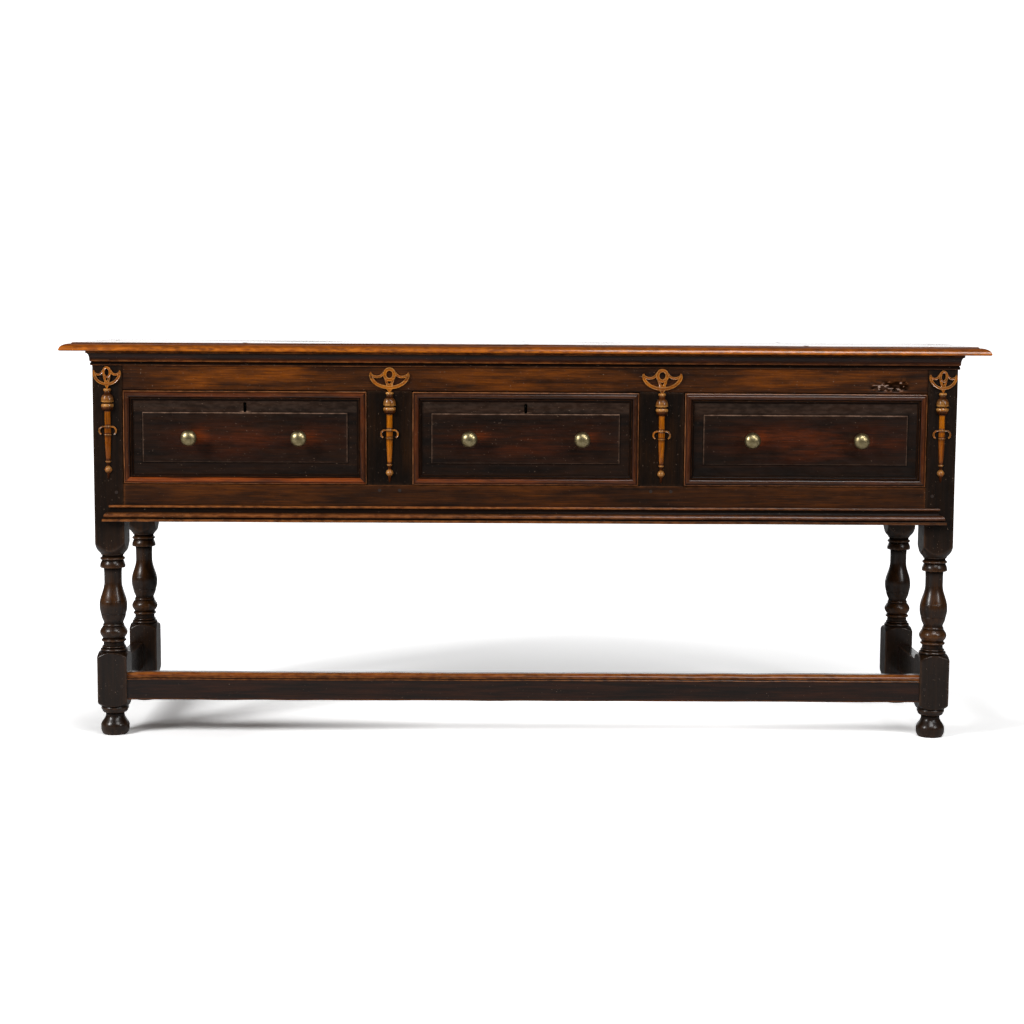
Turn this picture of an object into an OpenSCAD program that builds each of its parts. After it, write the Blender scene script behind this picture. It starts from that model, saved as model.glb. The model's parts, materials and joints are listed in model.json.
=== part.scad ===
// Joined oak dresser base with three drawers, split-turned mounts and baluster legs.
// Millimetres. X runs along the front, +Y goes to the back, Z = 0 is the floor.
// The pieces are drawn with the front faces of the front legs at Y = 0.
// in_place() then moves them so that the origin lies below the middle of the whole dresser.

/* [Overall] */
// Length of the frame over the legs
body_length = 1800; // [1500:10:2200]
// Depth of the frame over the legs
body_depth = 430; // [380:5:560]
// Height from the floor to the upper face of the top
height = 830; // [780:5:900]

/* [Top] */
// Thickness of the top boards
top_t = 18; // [17:1:26]
// Overhang of the top at each end
top_side_over = 63; // [30:1:90]
// Overhang of the top at the front
top_front_over = 30; // [20:1:60]
// Overhang of the top at the back
top_back_over = 5; // [0:1:30]
// Width of the front board of the top
top_front_board_w = 255; // [180:5:280]
// Width of the thumb moulding round the top
thumb_w = 21; // [10:1:28]
// Height of the thumb moulding's curve
thumb_h = 13; // [8:0.5:13.5]
// Width of the small step inside the thumb moulding
thumb_step = 2; // [1:0.5:4]
// Height of that step
thumb_step_h = 2.5; // [1.5:0.5:3]
// Diameter of the pegs that hold the top
top_peg_d = 10; // [8:0.5:12]
// Depth of these pegs in the rails
top_peg_in = 30; // [24:1:36]

/* [Front] */
// Width of the middle drawer's opening
middle_opening = 474; // [360:2:560]
// Width of a muntin between two drawers
muntin_w = 93; // [80:1:120]
// Height of the drawer openings
opening_h = 196; // [180:2:230]
// Height of the top rail
top_rail_h = 80.5; // [74:0.5:95]
// Height of the bottom rail
bottom_rail_h = 77.5; // [70:0.5:95]
// Thickness of the rails and muntins
rail_t = 28; // [26:0.5:34]

/* [Joints] */
// Thickness of the tenons
tenon_t = 9; // [8:0.5:10]
// Length of the rail tenons
tenon_l = 36; // [30:1:38]
// Length of the muntin tenons
muntin_tenon_l = 30; // [25:1:34]
// Shoulder above and below a tenon
tenon_shoulder = 8; // [5:0.5:12]
// Clearance at the end of a mortise
mortise_gap = 1; // [0.5:0.5:3]
// Diameter of the oak pegs
peg_d = 7; // [5:0.5:8]
// Distance of a peg from the joint's shoulder
peg_set = 15; // [12:0.5:18]
// Distance of a muntin peg from the rail's edge
muntin_peg_set = 11; // [9:0.5:14]
// Distance of a muntin peg from the muntin's middle
muntin_peg_x = 21; // [15:1:28]
// Distance of a corner peg from its rail's edge
corner_peg_edge = 18; // [15:0.5:22]
// Distance that a peg goes on past its tenon
peg_past = 12; // [8:1:14]
// Wood left beyond the end of a muntin peg
muntin_peg_end = 2; // [1:0.5:4]
// Distance that an exposed peg stands out
peg_proud = 0.6; // [0.2:0.1:1]
// Radial clearance of a peg in its bore
peg_gap = 0.05; // [0.02:0.01:0.1]

/* [Panels] */
// Thickness of the side and rear panels
panel_t = 9; // [7:0.5:10]
// Depth of the panel grooves
groove_depth = 10; // [7:0.5:10]
// Clearance at the bottom of a panel groove
panel_gap = 1.5; // [0.5:0.5:3]

/* [Legs] */
// Width of the square legs
leg_w = 62; // [56:1:70]
// Height of the turned foot below its ring
foot_h = 52; // [40:1:60]
// Radius of the foot where it stands
foot_base_r = 26.5; // [20:0.5:29]
// Radius of the foot's swelling
foot_r = 29.8; // [24:0.2:31]
// Height of the foot's swelling
foot_swell_h = 18; // [12:1:22]
// Radius of the foot's neck
foot_neck_r = 19.4; // [15:0.2:23]
// Height of the foot's neck below the ring
foot_neck_h = 10; // [8:1:14]
// Height of the ring between the foot and the lower block
foot_ring_h = 9; // [6:0.5:12]
// Radius of that ring
foot_ring_r = 29; // [25:0.5:30]
// Height of the lower square block with its shoulders
lower_block_h = 117; // [105:1:130]
// Height of the turned shoulder at each end of a square block
shoulder_h = 12; // [8:0.5:16]
// Radius where a block shoulder starts
shoulder_r = 29.3; // [26:0.1:30]
// Height of the square part of the upper block below the bottom rail
upper_block_h = 46; // [36:1:56]
// Height of the long shoulder under the upper block
upper_shoulder_h = 26; // [18:1:34]
// Radius of the vase at its widest
vase_r = 28.9; // [24:0.1:31]
// Height of the vase's widest point above its lower end
vase_belly_h = 33; // [25:1:45]
// Radius of the shaft above the vase
shaft_r = 18.3; // [14:0.1:22]
// Height of the straight part of the shaft
shaft_h = 30; // [10:1:45]
// Radius of the ball under the vase
ball_r = 28.7; // [24:0.1:31]
// Height of the ball
ball_h = 25; // [18:0.5:30]
// Radius of the collar's lower lip
collar_r = 26.2; // [23:0.1:29]
// Height of the collar
collar_h = 15.5; // [11:0.5:20]
// Radius of the narrow rings
ring_r = 26; // [23.5:0.1:29]
// Height of the narrow rings
ring_h = 6; // [4:0.5:8]
// Radius of the necks beside the rings
neck_r = 22; // [18:0.1:23]
// Height of the necks
neck_h = 6.5; // [4:0.5:10]

/* [Stretchers] */
// Height of the stretchers' lower edge above the floor
stretcher_z = 77; // [75:1:90]
// Height of the stretchers
stretcher_h = 58; // [45:1:62]
// Thickness of the stretchers
stretcher_t = 26; // [20:1:32]
// Distance of the stretchers behind the legs' outer faces
stretcher_set = 4; // [0:0.5:8]
// Distance of a stretcher peg from the shoulder
stretcher_peg_set = 10; // [8:0.5:14]
// Radius of the thumb moulding on the front stretcher
stretcher_thumb = 10; // [6:0.5:12]

/* [Cove moulding] */
// Height of the cove moulding under the top
cove_h = 30; // [24:0.5:34]
// Projection of the cove moulding
cove_out = 11; // [8:0.5:16]

/* [Base moulding] */
// Height of the base moulding
base_h = 34; // [28:0.5:40]
// Projection of the base moulding
base_out = 18; // [12:0.5:24]
// Distance from the frame's end to the moulding's returned end
base_return = 37; // [22:0.5:45]
// Half of the gap left in a mitre joint
mitre_gap = 0.1; // [0.05:0.05:0.3]

/* [Drawers] */
// Gap round a drawer front
front_gap = 1.5; // [1:0.1:3]
// Distance of the drawer fronts behind the frame's face
front_set = 1; // [0:0.1:3]
// Thickness of the drawer fronts
front_t = 22; // [20:0.5:26]
// Height of the raised field above the drawer front
field_out = 2.5; // [1:0.1:4]
// Border between the opening's end and the raised field
field_border_x = 41; // [34:0.5:60]
// Border above and below the raised field
field_border_z = 46; // [36:0.5:60]
// Thickness of the drawer sides
side_t = 17; // [15:0.5:20]
// Gap between a drawer side and its opening
side_gap = 1.5; // [1:0.1:3]
// Thickness of the drawer back
back_t = 12; // [10:0.5:16]
// Thickness of the drawer bottom
bottom_t = 9; // [7:0.5:12]
// Distance of the drawer sides below the top of the front
side_drop = 8; // [4:0.5:15]
// Distance of the drawer back below the drawer sides
back_drop = 6; // [3:1:12]
// Rebate behind the drawer front that takes the sides
front_lap = 8; // [6:0.5:12]
// Gap between a drawer's back and the rear frame
rear_gap = 12; // [5:0.5:30]

/* [Runners] */
// Height of a drawer runner
runner_h = 18; // [12:0.5:24]
// Depth that a runner is let into the leg or muntin
runner_in = 12; // [8:0.5:16]
// Depth that a runner's end goes into the rear frame
runner_rear_in = 6; // [4:0.5:10]
// Depth of the groove in a drawer side
side_groove = 8; // [6:0.5:9]
// Running gap above the runner and at its front end
run_gap = 0.3; // [0.3:0.1:0.8]
// Gap between a runner and the groove below and beside it
groove_gap = 1; // [0.6:0.1:2]
// Diameter of a runner nail's shank
nail_d = 3; // [2:0.2:4]

/* [Drawer mouldings] */
// Width of the mitred moulding round a drawer front
mould_w = 20; // [14:0.5:24]
// Height of the mitred moulding
mould_h = 8.5; // [5:0.5:12]

/* [Knobs] */
// Diameter of a knob
knob_d = 34; // [24:0.5:38]
// Length of the knob's ball along its axis
knob_ball_l = 25; // [18:0.5:30]
// Distance that a knob stands out from the field
knob_out = 37; // [30:0.5:45]
// Diameter of the knob's neck
knob_neck_d = 12; // [9:0.5:16]
// Distance between the knobs of an outer drawer
knob_pitch_outer = 227; // [160:1:280]
// Distance between the knobs of the middle drawer
knob_pitch_middle = 234; // [160:1:280]

/* [Locks] */
// Width of a lock case
lock_w = 70; // [56:1:90]
// Height of a lock case
lock_h = 72; // [62:1:80]
// Thickness of a lock case
lock_t = 11; // [9:0.5:13]
// Width of a lock bolt
bolt_w = 22; // [14:1:30]
// Thickness of a lock bolt
bolt_t = 5; // [4:0.5:6]
// Travel of a lock bolt
bolt_throw = 8; // [5:0.5:10]
// Width of a keyhole
keyhole_w = 6.5; // [5:0.5:9]
// Height of a keyhole
keyhole_h = 21; // [15:0.5:26]
// Distance of the keyhole's middle above the drawer's middle
keyhole_up = 63; // [58:0.5:68]

/* [Mounts on the stiles and muntins] */
// Half width of a crest on a muntin
crest_half_muntin = 42.5; // [34:0.5:45]
// Half width of a crest on a stile
crest_half_stile = 28.6; // [24:0.2:30]
// Depth of a muntin crest below its ring's middle
crest_drop_muntin = 32.2; // [26:0.2:36]
// Depth of a stile crest below its ring's middle
crest_drop_stile = 28; // [24:0.2:34]
// Outer radius of the crest's ring
crest_ring_r = 13.5; // [10:0.5:16]
// Radius of the hole in the crest's ring
crest_hole_r = 6.2; // [3:0.2:8]
// Width of the crest's curved band
crest_band = 6.6; // [5:0.2:9]
// Thickness of the crest
crest_t = 5; // [3:0.5:8]
// Distance of the crest's top below the cove moulding
crest_below_cove = 1; // [0.5:0.5:6]
// Length of a split spindle
spindle_l = 189; // [170:1:200]
// Radius of the spindle's bell
spindle_r = 13; // [10:0.5:15]
// Radius of the spindle's shaft
spindle_shaft_r = 6; // [4:0.2:8]
// Outer radius of the scrolled ears
ear_r = 9.5; // [7:0.5:12]

/* [Hidden] */
$fn = 64;

// Colours of the woods and metals
oak_top = "#8a4a1c";
oak_rail = "#5a3318";
oak_dark = "#33221a";
oak_front = "#2e2220";
oak_inside = "#8d6a45";
mould_brown = "#6b3a1e";
mount_gold = "#c07a28";
brass_old = "#b5a06a";
iron_old = "#4a4744";

// Frame: levels and places
frame_top = height - top_t;
rail_low = frame_top - top_rail_h;
opening_low = rail_low - opening_h;
frame_low = opening_low - bottom_rail_h;
half_l = body_length / 2;
leg_in = half_l - leg_w;
muntin_x = middle_opening / 2 + muntin_w / 2;
outer_opening = leg_in - middle_opening / 2 - muntin_w;
outer_x = leg_in - outer_opening / 2;
rear_in = body_depth - rail_t;
leg_axis = leg_w / 2;
opening_mid = opening_low + opening_h / 2;
mortise_l = tenon_l + mortise_gap;
cut = 1;

// Whole dresser: front face of the knobs to the back of the top
field_y = front_set - field_out;
y_shift = -(body_depth + top_back_over + field_y - knob_out) / 2;

// Drawers
box_front = front_set + front_t;
box_rear = rear_in - rear_gap;
front_low = opening_low + front_gap;
front_top = rail_low - front_gap;
side_low = front_low + bottom_t;
side_top = front_top - side_drop;
runner_z = opening_mid - runner_h / 2;
runner_out = side_gap + side_groove - groove_gap;
runner_front = box_front + run_gap;
runner_end = rear_in + runner_rear_in;
keyhole_z = opening_mid + keyhole_up;

// Legs: levels of the turning
lower_block_z = foot_h + foot_ring_h;
lower_block_top = lower_block_z + lower_block_h;
upper_shoulder_top = frame_low - upper_block_h;
upper_shoulder_z = upper_shoulder_top - upper_shoulder_h;
corner_r = leg_w * sqrt(2) / 2 + 0.5;

function lerp(a, b, t) = a + (b - a) * t;
// Points of a half-round bead between two levels, standing out h from radius r
function bead(z0, z1, r, h, n = 8) =
    [for (i = [0 : n]) [r + h * sin(180 * i / n), lerp(z0, z1, i / n)]];
// Points of a smooth swelling from one radius to another
function swell(z0, r0, z1, r1, n = 10) =
    [for (i = [0 : n]) [lerp(r0, r1, (1 - cos(180 * i / n)) / 2), lerp(z0, z1, i / n)]];
// Points of a quarter curve that leaves level and ends upright
function quarter(z0, r0, z1, r1, n = 8) =
    [for (i = [0 : n]) [lerp(r0, r1, sin(90 * i / n)), lerp(z0, z1, 1 - cos(90 * i / n))]];
// Points of a straight run with a slight bulge
function bulged(z0, r0, z1, r1, h, n = 6) =
    [for (i = [0 : n]) [lerp(r0, r1, i / n) + h * sin(180 * i / n), lerp(z0, z1, i / n)]];

module in_place() {
    translate([0, y_shift, 0]) children();
}

module box(x0, x1, y0, y1, z0, z1) {
    translate([x0, y0, z0]) cube([x1 - x0, y1 - y0, z1 - z0]);
}

// Extrudes a profile of [y, z] points along X
module along_x(x0, x1, points) {
    translate([x0, 0, 0]) rotate([90, 0, 90]) linear_extrude(x1 - x0) polygon(points);
}

// Extrudes a profile of [x, z] points along Y
module along_y(y0, y1, points) {
    translate([0, y1, 0]) rotate([90, 0, 0]) linear_extrude(y1 - y0) polygon(points);
}

// Round bar or bore along Y, from y0 to y1
module bar_y(x, z, r, y0, y1) {
    translate([x, y0, z]) rotate([-90, 0, 0]) cylinder(r = r, h = y1 - y0);
}

// Round bar or bore along X, from x0 to x1
module bar_x(y, z, r, x0, x1) {
    translate([x0, y, z]) rotate([0, 90, 0]) cylinder(r = r, h = x1 - x0);
}

// Pegs. Every peg and its bore come from the same lists of places.
peg_r = peg_d / 2;
corner_peg_z = [
    frame_low + corner_peg_edge, opening_low - corner_peg_edge,
    rail_low + corner_peg_edge, frame_top - corner_peg_edge
];
stretcher_peg_z = stretcher_z + stretcher_h / 2;
peg_depth = rail_t / 2 + tenon_t / 2 + peg_past;
stretcher_peg_depth = stretcher_set + stretcher_t / 2 + tenon_t / 2 + peg_past;
muntin_peg_low = opening_low - muntin_peg_set;
muntin_peg_high = rail_low + muntin_peg_set;
top_peg_r = top_peg_d / 2;
top_peg_l = top_t + top_peg_in;
// The visible pegs stand proud, and those under a moulding or a mount are flush
function front_proud(i) = i == 1 ? peg_proud : 0;

module front_corner_pegs(side, r, extra) {
    for (i = [0 : 3])
        bar_y(side * (leg_in + peg_set), corner_peg_z[i], r,
            -(extra > 0 ? extra : front_proud(i)), peg_depth + extra);
    bar_y(side * (leg_in + stretcher_peg_set), stretcher_peg_z, r,
        -(extra > 0 ? extra : peg_proud), stretcher_peg_depth + extra);
}

module rear_corner_pegs(side, r, extra) {
    for (i = [0 : 3])
        bar_y(side * (leg_in + peg_set), corner_peg_z[i], r,
            body_depth - peg_depth - extra, body_depth + (extra > 0 ? extra : peg_proud));
}

module side_pegs_right(r, extra) {
    for (y = [leg_w - peg_set, body_depth - leg_w + peg_set])
        for (z = corner_peg_z)
            bar_x(y, z, r, half_l - peg_depth - extra,
                half_l + (extra > 0 ? extra : (z > frame_top - cove_h ? 0 : peg_proud)));
    for (y = [leg_w - stretcher_peg_set, body_depth - leg_w + stretcher_peg_set])
        bar_x(y, stretcher_peg_z, r, half_l - stretcher_peg_depth - extra,
            half_l + (extra > 0 ? extra : peg_proud));
}

module side_pegs(side, r, extra) {
    if (side > 0) side_pegs_right(r, extra);
    else mirror([1, 0, 0]) side_pegs_right(r, extra);
}

module front_muntin_pegs(side, r, extra) {
    for (dx = [-muntin_peg_x, muntin_peg_x]) {
        bar_y(side * muntin_x + dx, muntin_peg_low, r,
            -(extra > 0 ? extra : peg_proud), rail_t - muntin_peg_end + extra);
        bar_y(side * muntin_x + dx, muntin_peg_high, r, -extra, rail_t - muntin_peg_end + extra);
    }
}

module rear_muntin_pegs(side, r, extra) {
    for (z = [muntin_peg_low, muntin_peg_high])
        bar_y(side * muntin_x, z, r, rear_in + muntin_peg_end - extra,
            body_depth + (extra > 0 ? extra : peg_proud));
}

module top_pegs(r, extra) {
    for (x = [-outer_x, 0, outer_x])
        for (y = [rail_t / 2, body_depth - rail_t / 2])
            translate([x, y, height - top_peg_l - extra])
                cylinder(r = r, h = top_peg_l + 2 * extra);
    for (x = [-half_l + rail_t / 2, half_l - rail_t / 2])
        translate([x, body_depth / 2, height - top_peg_l - extra])
            cylinder(r = r, h = top_peg_l + 2 * extra);
}

// Top: the moulded outline is one curve, cut by the seam between the two boards
thumb_low = top_t - thumb_h - thumb_step_h;
thumb_ease = thumb_low * 0.6;
module top_outline() {
    curve = [for (i = [0 : 10]) [thumb_w * (1 - cos(9 * i)), thumb_low + thumb_h * sin(9 * i)]];
    end_x = half_l + top_side_over;
    front_y = -top_front_over;
    rear_y = body_depth + top_back_over;
    translate([0, 0, frame_top])
        intersection() {
            along_x(-end_x - cut, end_x + cut, concat(
                [[rear_y, 0], [rear_y, top_t], [front_y + thumb_w + thumb_step, top_t],
                    [front_y + thumb_w + thumb_step, thumb_low + thumb_h]],
                [for (i = [10 : -1 : 0]) [front_y + curve[i][0], curve[i][1]]],
                [[front_y, thumb_ease], [front_y + thumb_ease, 0]]));
            along_y(front_y - cut, rear_y + cut, concat(
                [[end_x - thumb_ease, 0], [end_x, thumb_ease]],
                [for (p = curve) [end_x - p[0], p[1]]],
                [[end_x - thumb_w - thumb_step, thumb_low + thumb_h],
                    [end_x - thumb_w - thumb_step, top_t],
                    [-end_x + thumb_w + thumb_step, top_t],
                    [-end_x + thumb_w + thumb_step, thumb_low + thumb_h]],
                [for (i = [10 : -1 : 0]) [-end_x + curve[i][0], curve[i][1]]],
                [[-end_x, thumb_ease], [-end_x + thumb_ease, 0]]));
        }
}

module top_board(y0, y1) {
    color(oak_top)
        difference() {
            intersection() {
                top_outline();
                box(-body_length, body_length, y0, y1, 0, height + cut);
            }
            top_pegs(top_peg_r, cut);
        }
}

top_seam = top_front_board_w - top_front_over;
module top_board_front() {
    in_place() top_board(-top_front_over - cut, top_seam);
}
module top_board_rear() {
    in_place() top_board(top_seam, body_depth + top_back_over + cut);
}

// Legs: the lathe's profile from the floor to the upper block
ring_low = lower_block_top + 2 * ring_h + neck_h + 2;
ball_low = ring_low + ring_h + 1.5;
vase_low = ball_low + ball_h + 9.5;
collar_z = upper_shoulder_z - neck_h - ring_h - 2 - collar_h;
function turning() = concat(
    [[0, 0]],
    bulged(0, foot_base_r, foot_swell_h - 5, foot_r, 0.8, 4),
    swell(foot_swell_h, foot_r, foot_h - foot_neck_h, foot_neck_r, 12),
    quarter(foot_h - foot_neck_h + 4, foot_neck_r, foot_h, foot_ring_r - 2, 5),
    bead(foot_h, lower_block_z, foot_ring_r - 2, 2),
    bulged(lower_block_z, shoulder_r, lower_block_z + shoulder_h, corner_r, 1),
    bulged(lower_block_top - shoulder_h, corner_r, lower_block_top, shoulder_r, 1),
    bead(lower_block_top, lower_block_top + ring_h, shoulder_r - 2.5, 1.5),
    bead(lower_block_top + ring_h + 1.5, lower_block_top + 2 * ring_h, neck_r + 0.5, 2.5),
    swell(lower_block_top + 2 * ring_h, neck_r, ring_low, neck_r - 0.5, 4),
    bead(ring_low, ring_low + ring_h, ring_r - 2.5, 2.5),
    bead(ball_low, ball_low + ball_h, neck_r + 0.5, ball_r - neck_r - 0.5, 14),
    bead(vase_low - 9, vase_low - 4.5, neck_r - 0.5, 1),
    [[shaft_r + 2, vase_low - 3]],
    [for (i = [0 : 12]) [lerp(shaft_r + 2.2, vase_r, sin(90 * i / 12)),
        lerp(vase_low, vase_low + vase_belly_h, i / 12)]],
    swell(vase_low + vase_belly_h + 3, vase_r, collar_z - shaft_h, shaft_r, 16),
    [[shaft_r, collar_z - shaft_h * 0.4], [shaft_r + 0.6, collar_z]],
    [[collar_r - 1.5, collar_z]],
    bulged(collar_z + 1, collar_r, collar_z + collar_h, neck_r + 0.3, 1.3, 8),
    bead(collar_z + collar_h + 1, collar_z + collar_h + 1 + ring_h, ring_r - 2.6, 2.6),
    [[neck_r, collar_z + collar_h + 2 + ring_h], [neck_r, upper_shoulder_z - 2]],
    [[neck_r + 2.3, upper_shoulder_z]],
    bulged(upper_shoulder_z, neck_r + 2.5, upper_shoulder_top, corner_r, 1.2),
    [[corner_r, frame_top + cut], [0, frame_top + cut]]);

// Space that the side and rear panels take in the frame's grooves
module side_panel_space(side, grow) {
    x0 = side * (half_l - rail_t / 2) - panel_t / 2;
    box(x0, x0 + panel_t, leg_w - groove_depth + panel_gap * (1 - grow),
        body_depth - leg_w + groove_depth - panel_gap * (1 - grow),
        opening_low - groove_depth + panel_gap * (1 - grow),
        rail_low + groove_depth - panel_gap * (1 - grow));
}

module rear_panel_space(x0, x1, grow) {
    y0 = body_depth - rail_t / 2 - panel_t / 2;
    box(x0 - groove_depth + panel_gap * (1 - grow), x1 + groove_depth - panel_gap * (1 - grow),
        y0, y0 + panel_t,
        opening_low - groove_depth + panel_gap * (1 - grow),
        rail_low + groove_depth - panel_gap * (1 - grow));
}

// Tenon between two places along X, centred in the thickness of a rail at y_mid
module tenon_x(x0, x1, y_mid, z0, z1) {
    box(x0, x1, y_mid - tenon_t / 2, y_mid + tenon_t / 2, z0 + tenon_shoulder, z1 - tenon_shoulder);
}

module tenon_y(y0, y1, x_mid, z0, z1) {
    box(x_mid - tenon_t / 2, x_mid + tenon_t / 2, y0, y1, z0 + tenon_shoulder, z1 - tenon_shoulder);
}

front_mid = rail_t / 2;
rear_mid = body_depth - rail_t / 2;
side_mid = half_l - rail_t / 2;
stretcher_mid = stretcher_set + stretcher_t / 2;

// The right front leg's mortises. The other legs are mirrored from it.
module leg_mortises(along_front) {
    rails = [[rail_low, frame_top], [frame_low, opening_low]];
    for (r = rails) {
        tenon_x(leg_in - cut, leg_in + mortise_l, front_mid, r[0], r[1]);
        tenon_y(leg_w - mortise_l, leg_w + cut, side_mid, r[0], r[1]);
    }
    if (along_front)
        tenon_x(leg_in - cut, leg_in + mortise_l, stretcher_mid, stretcher_z, stretcher_z + stretcher_h);
    tenon_y(leg_w - mortise_l, leg_w + cut, half_l - stretcher_mid, stretcher_z, stretcher_z + stretcher_h);
}

module leg_blank() {
    translate([half_l - leg_axis, leg_axis, 0])
        intersection() {
            rotate_extrude() polygon(turning());
            translate([-leg_axis, -leg_axis, -cut]) cube([leg_w, leg_w, frame_top + cut]);
        }
}

module runner_housing_right() {
    box(leg_in - cut, leg_in + runner_in, runner_front, runner_end, runner_z, runner_z + runner_h);
    for (y = nail_y) runner_nail([leg_in, -1], y, peg_gap);
}

module front_leg_right_shape() {
    color(oak_dark)
        difference() {
            leg_blank();
            leg_mortises(true);
            side_panel_space(1, 1);
            runner_housing_right();
            front_corner_pegs(1, peg_r, cut);
            side_pegs_right(peg_r, cut);
        }
}

module rear_leg_right_shape() {
    color(oak_dark)
        difference() {
            translate([0, body_depth, 0]) mirror([0, 1, 0])
                difference() {
                    leg_blank();
                    leg_mortises(false);
                }
            side_panel_space(1, 1);
            rear_panel_space(leg_in - outer_opening, leg_in, 1);
            runner_housing_right();
            rear_corner_pegs(1, peg_r, cut);
            side_pegs_right(peg_r, cut);
        }
}

module front_leg_right() {
    in_place() front_leg_right_shape();
}
module front_leg_left() {
    in_place() mirror([1, 0, 0]) front_leg_right_shape();
}
module rear_leg_right() {
    in_place() rear_leg_right_shape();
}
module rear_leg_left() {
    in_place() mirror([1, 0, 0]) rear_leg_right_shape();
}

// Mortises in a rail for the tenons of the two muntins
module muntin_tenon(side, y_mid, z0, z1) {
    box(side * muntin_x - muntin_w / 2 + tenon_shoulder, side * muntin_x + muntin_w / 2 - tenon_shoulder,
        y_mid - tenon_t / 2, y_mid + tenon_t / 2, z0, z1);
}

// Mortise in the top rail that a lock bolt enters
bolt_gap = 1;
lock_y = box_front - lock_t;
bolt_y = lock_y + lock_t / 2;
module bolt_mortise(x) {
    box(x - bolt_w / 2 - bolt_gap, x + bolt_w / 2 + bolt_gap,
        bolt_y - bolt_t / 2 - bolt_gap, bolt_y + bolt_t / 2 + bolt_gap,
        rail_low - cut, rail_low + bolt_throw + bolt_gap);
}

module long_rail(y_mid, z0, z1) {
    box(-leg_in, leg_in, y_mid - rail_t / 2, y_mid + rail_t / 2, z0, z1);
    tenon_x(-leg_in - tenon_l, leg_in + tenon_l, y_mid, z0, z1);
}

module front_top_rail() {
    in_place() color(oak_rail)
        difference() {
            long_rail(front_mid, rail_low, frame_top);
            for (side = [-1, 1]) {
                muntin_tenon(side, front_mid, rail_low - cut, rail_low + muntin_tenon_l + mortise_gap);
                front_corner_pegs(side, peg_r, cut);
                front_muntin_pegs(side, peg_r, cut);
            }
            for (x = [-outer_x, 0]) bolt_mortise(x);
            top_pegs(top_peg_r, cut);
        }
}

module front_bottom_rail() {
    in_place() color(oak_rail)
        difference() {
            long_rail(front_mid, frame_low, opening_low);
            for (side = [-1, 1]) {
                muntin_tenon(side, front_mid, opening_low - muntin_tenon_l - mortise_gap, opening_low + cut);
                front_corner_pegs(side, peg_r, cut);
                front_muntin_pegs(side, peg_r, cut);
            }
        }
}

module muntin(side, y_mid) {
    box(side * muntin_x - muntin_w / 2, side * muntin_x + muntin_w / 2,
        y_mid - rail_t / 2, y_mid + rail_t / 2, opening_low, rail_low);
    muntin_tenon(side, y_mid, opening_low - muntin_tenon_l, rail_low + muntin_tenon_l);
}

// Housings for the two runners that a muntin carries
module muntin_housings(side) {
    for (edge = [-1, 1]) {
        x_edge = side * muntin_x + edge * muntin_w / 2;
        box(min(x_edge + edge * cut, x_edge - edge * runner_in),
            max(x_edge + edge * cut, x_edge - edge * runner_in),
            runner_front, runner_end, runner_z, runner_z + runner_h);
        for (y = nail_y) runner_nail([x_edge, edge], y, peg_gap);
    }
}

module front_muntin(side) {
    in_place() color(oak_dark)
        difference() {
            muntin(side, front_mid);
            muntin_housings(side);
            front_muntin_pegs(side, peg_r, cut);
        }
}

module front_muntin_left() {
    front_muntin(-1);
}
module front_muntin_right() {
    front_muntin(1);
}

// Rear frame: the same rails and muntins, grooved for the panels
rear_bays = [
    [-leg_in, -muntin_x - muntin_w / 2],
    [-muntin_x + muntin_w / 2, muntin_x - muntin_w / 2],
    [muntin_x + muntin_w / 2, leg_in]
];

module rear_rail(z0, z1, tenon_z0, tenon_z1) {
    difference() {
        long_rail(rear_mid, z0, z1);
        for (side = [-1, 1]) {
            muntin_tenon(side, rear_mid, tenon_z0, tenon_z1);
            rear_corner_pegs(side, peg_r, cut);
            rear_muntin_pegs(side, peg_r, cut);
        }
        for (bay = rear_bays) rear_panel_space(bay[0], bay[1], 1);
        top_pegs(top_peg_r, cut);
    }
}

module rear_top_rail() {
    in_place() color(oak_rail)
        rear_rail(rail_low, frame_top, rail_low - cut, rail_low + muntin_tenon_l + mortise_gap);
}

module rear_bottom_rail() {
    in_place() color(oak_rail)
        rear_rail(frame_low, opening_low, opening_low - muntin_tenon_l - mortise_gap, opening_low + cut);
}

module rear_muntin(side) {
    in_place() color(oak_rail)
        difference() {
            muntin(side, rear_mid);
            muntin_housings(side);
            for (bay = rear_bays) rear_panel_space(bay[0], bay[1], 1);
            rear_muntin_pegs(side, peg_r, cut);
        }
}

module rear_muntin_left() {
    rear_muntin(-1);
}
module rear_muntin_right() {
    rear_muntin(1);
}

module rear_panel(i) {
    in_place() color(oak_rail) rear_panel_space(rear_bays[i][0], rear_bays[i][1], 0);
}
module rear_panel_left() {
    rear_panel(0);
}
module rear_panel_middle() {
    rear_panel(1);
}
module rear_panel_right() {
    rear_panel(2);
}

// Side frames
module side_rail(side, z0, z1) {
    in_place() color(oak_rail)
        difference() {
            union() {
                box(side * side_mid - rail_t / 2, side * side_mid + rail_t / 2,
                    leg_w, body_depth - leg_w, z0, z1);
                tenon_y(leg_w - tenon_l, body_depth - leg_w + tenon_l, side * side_mid, z0, z1);
            }
            side_panel_space(side, 1);
            side_pegs(side, peg_r, cut);
            top_pegs(top_peg_r, cut);
        }
}

module side_top_rail_left() {
    side_rail(-1, rail_low, frame_top);
}
module side_top_rail_right() {
    side_rail(1, rail_low, frame_top);
}
module side_bottom_rail_left() {
    side_rail(-1, frame_low, opening_low);
}
module side_bottom_rail_right() {
    side_rail(1, frame_low, opening_low);
}
module side_panel_left() {
    in_place() color(oak_rail) side_panel_space(-1, 0);
}
module side_panel_right() {
    in_place() color(oak_rail) side_panel_space(1, 0);
}

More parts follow.
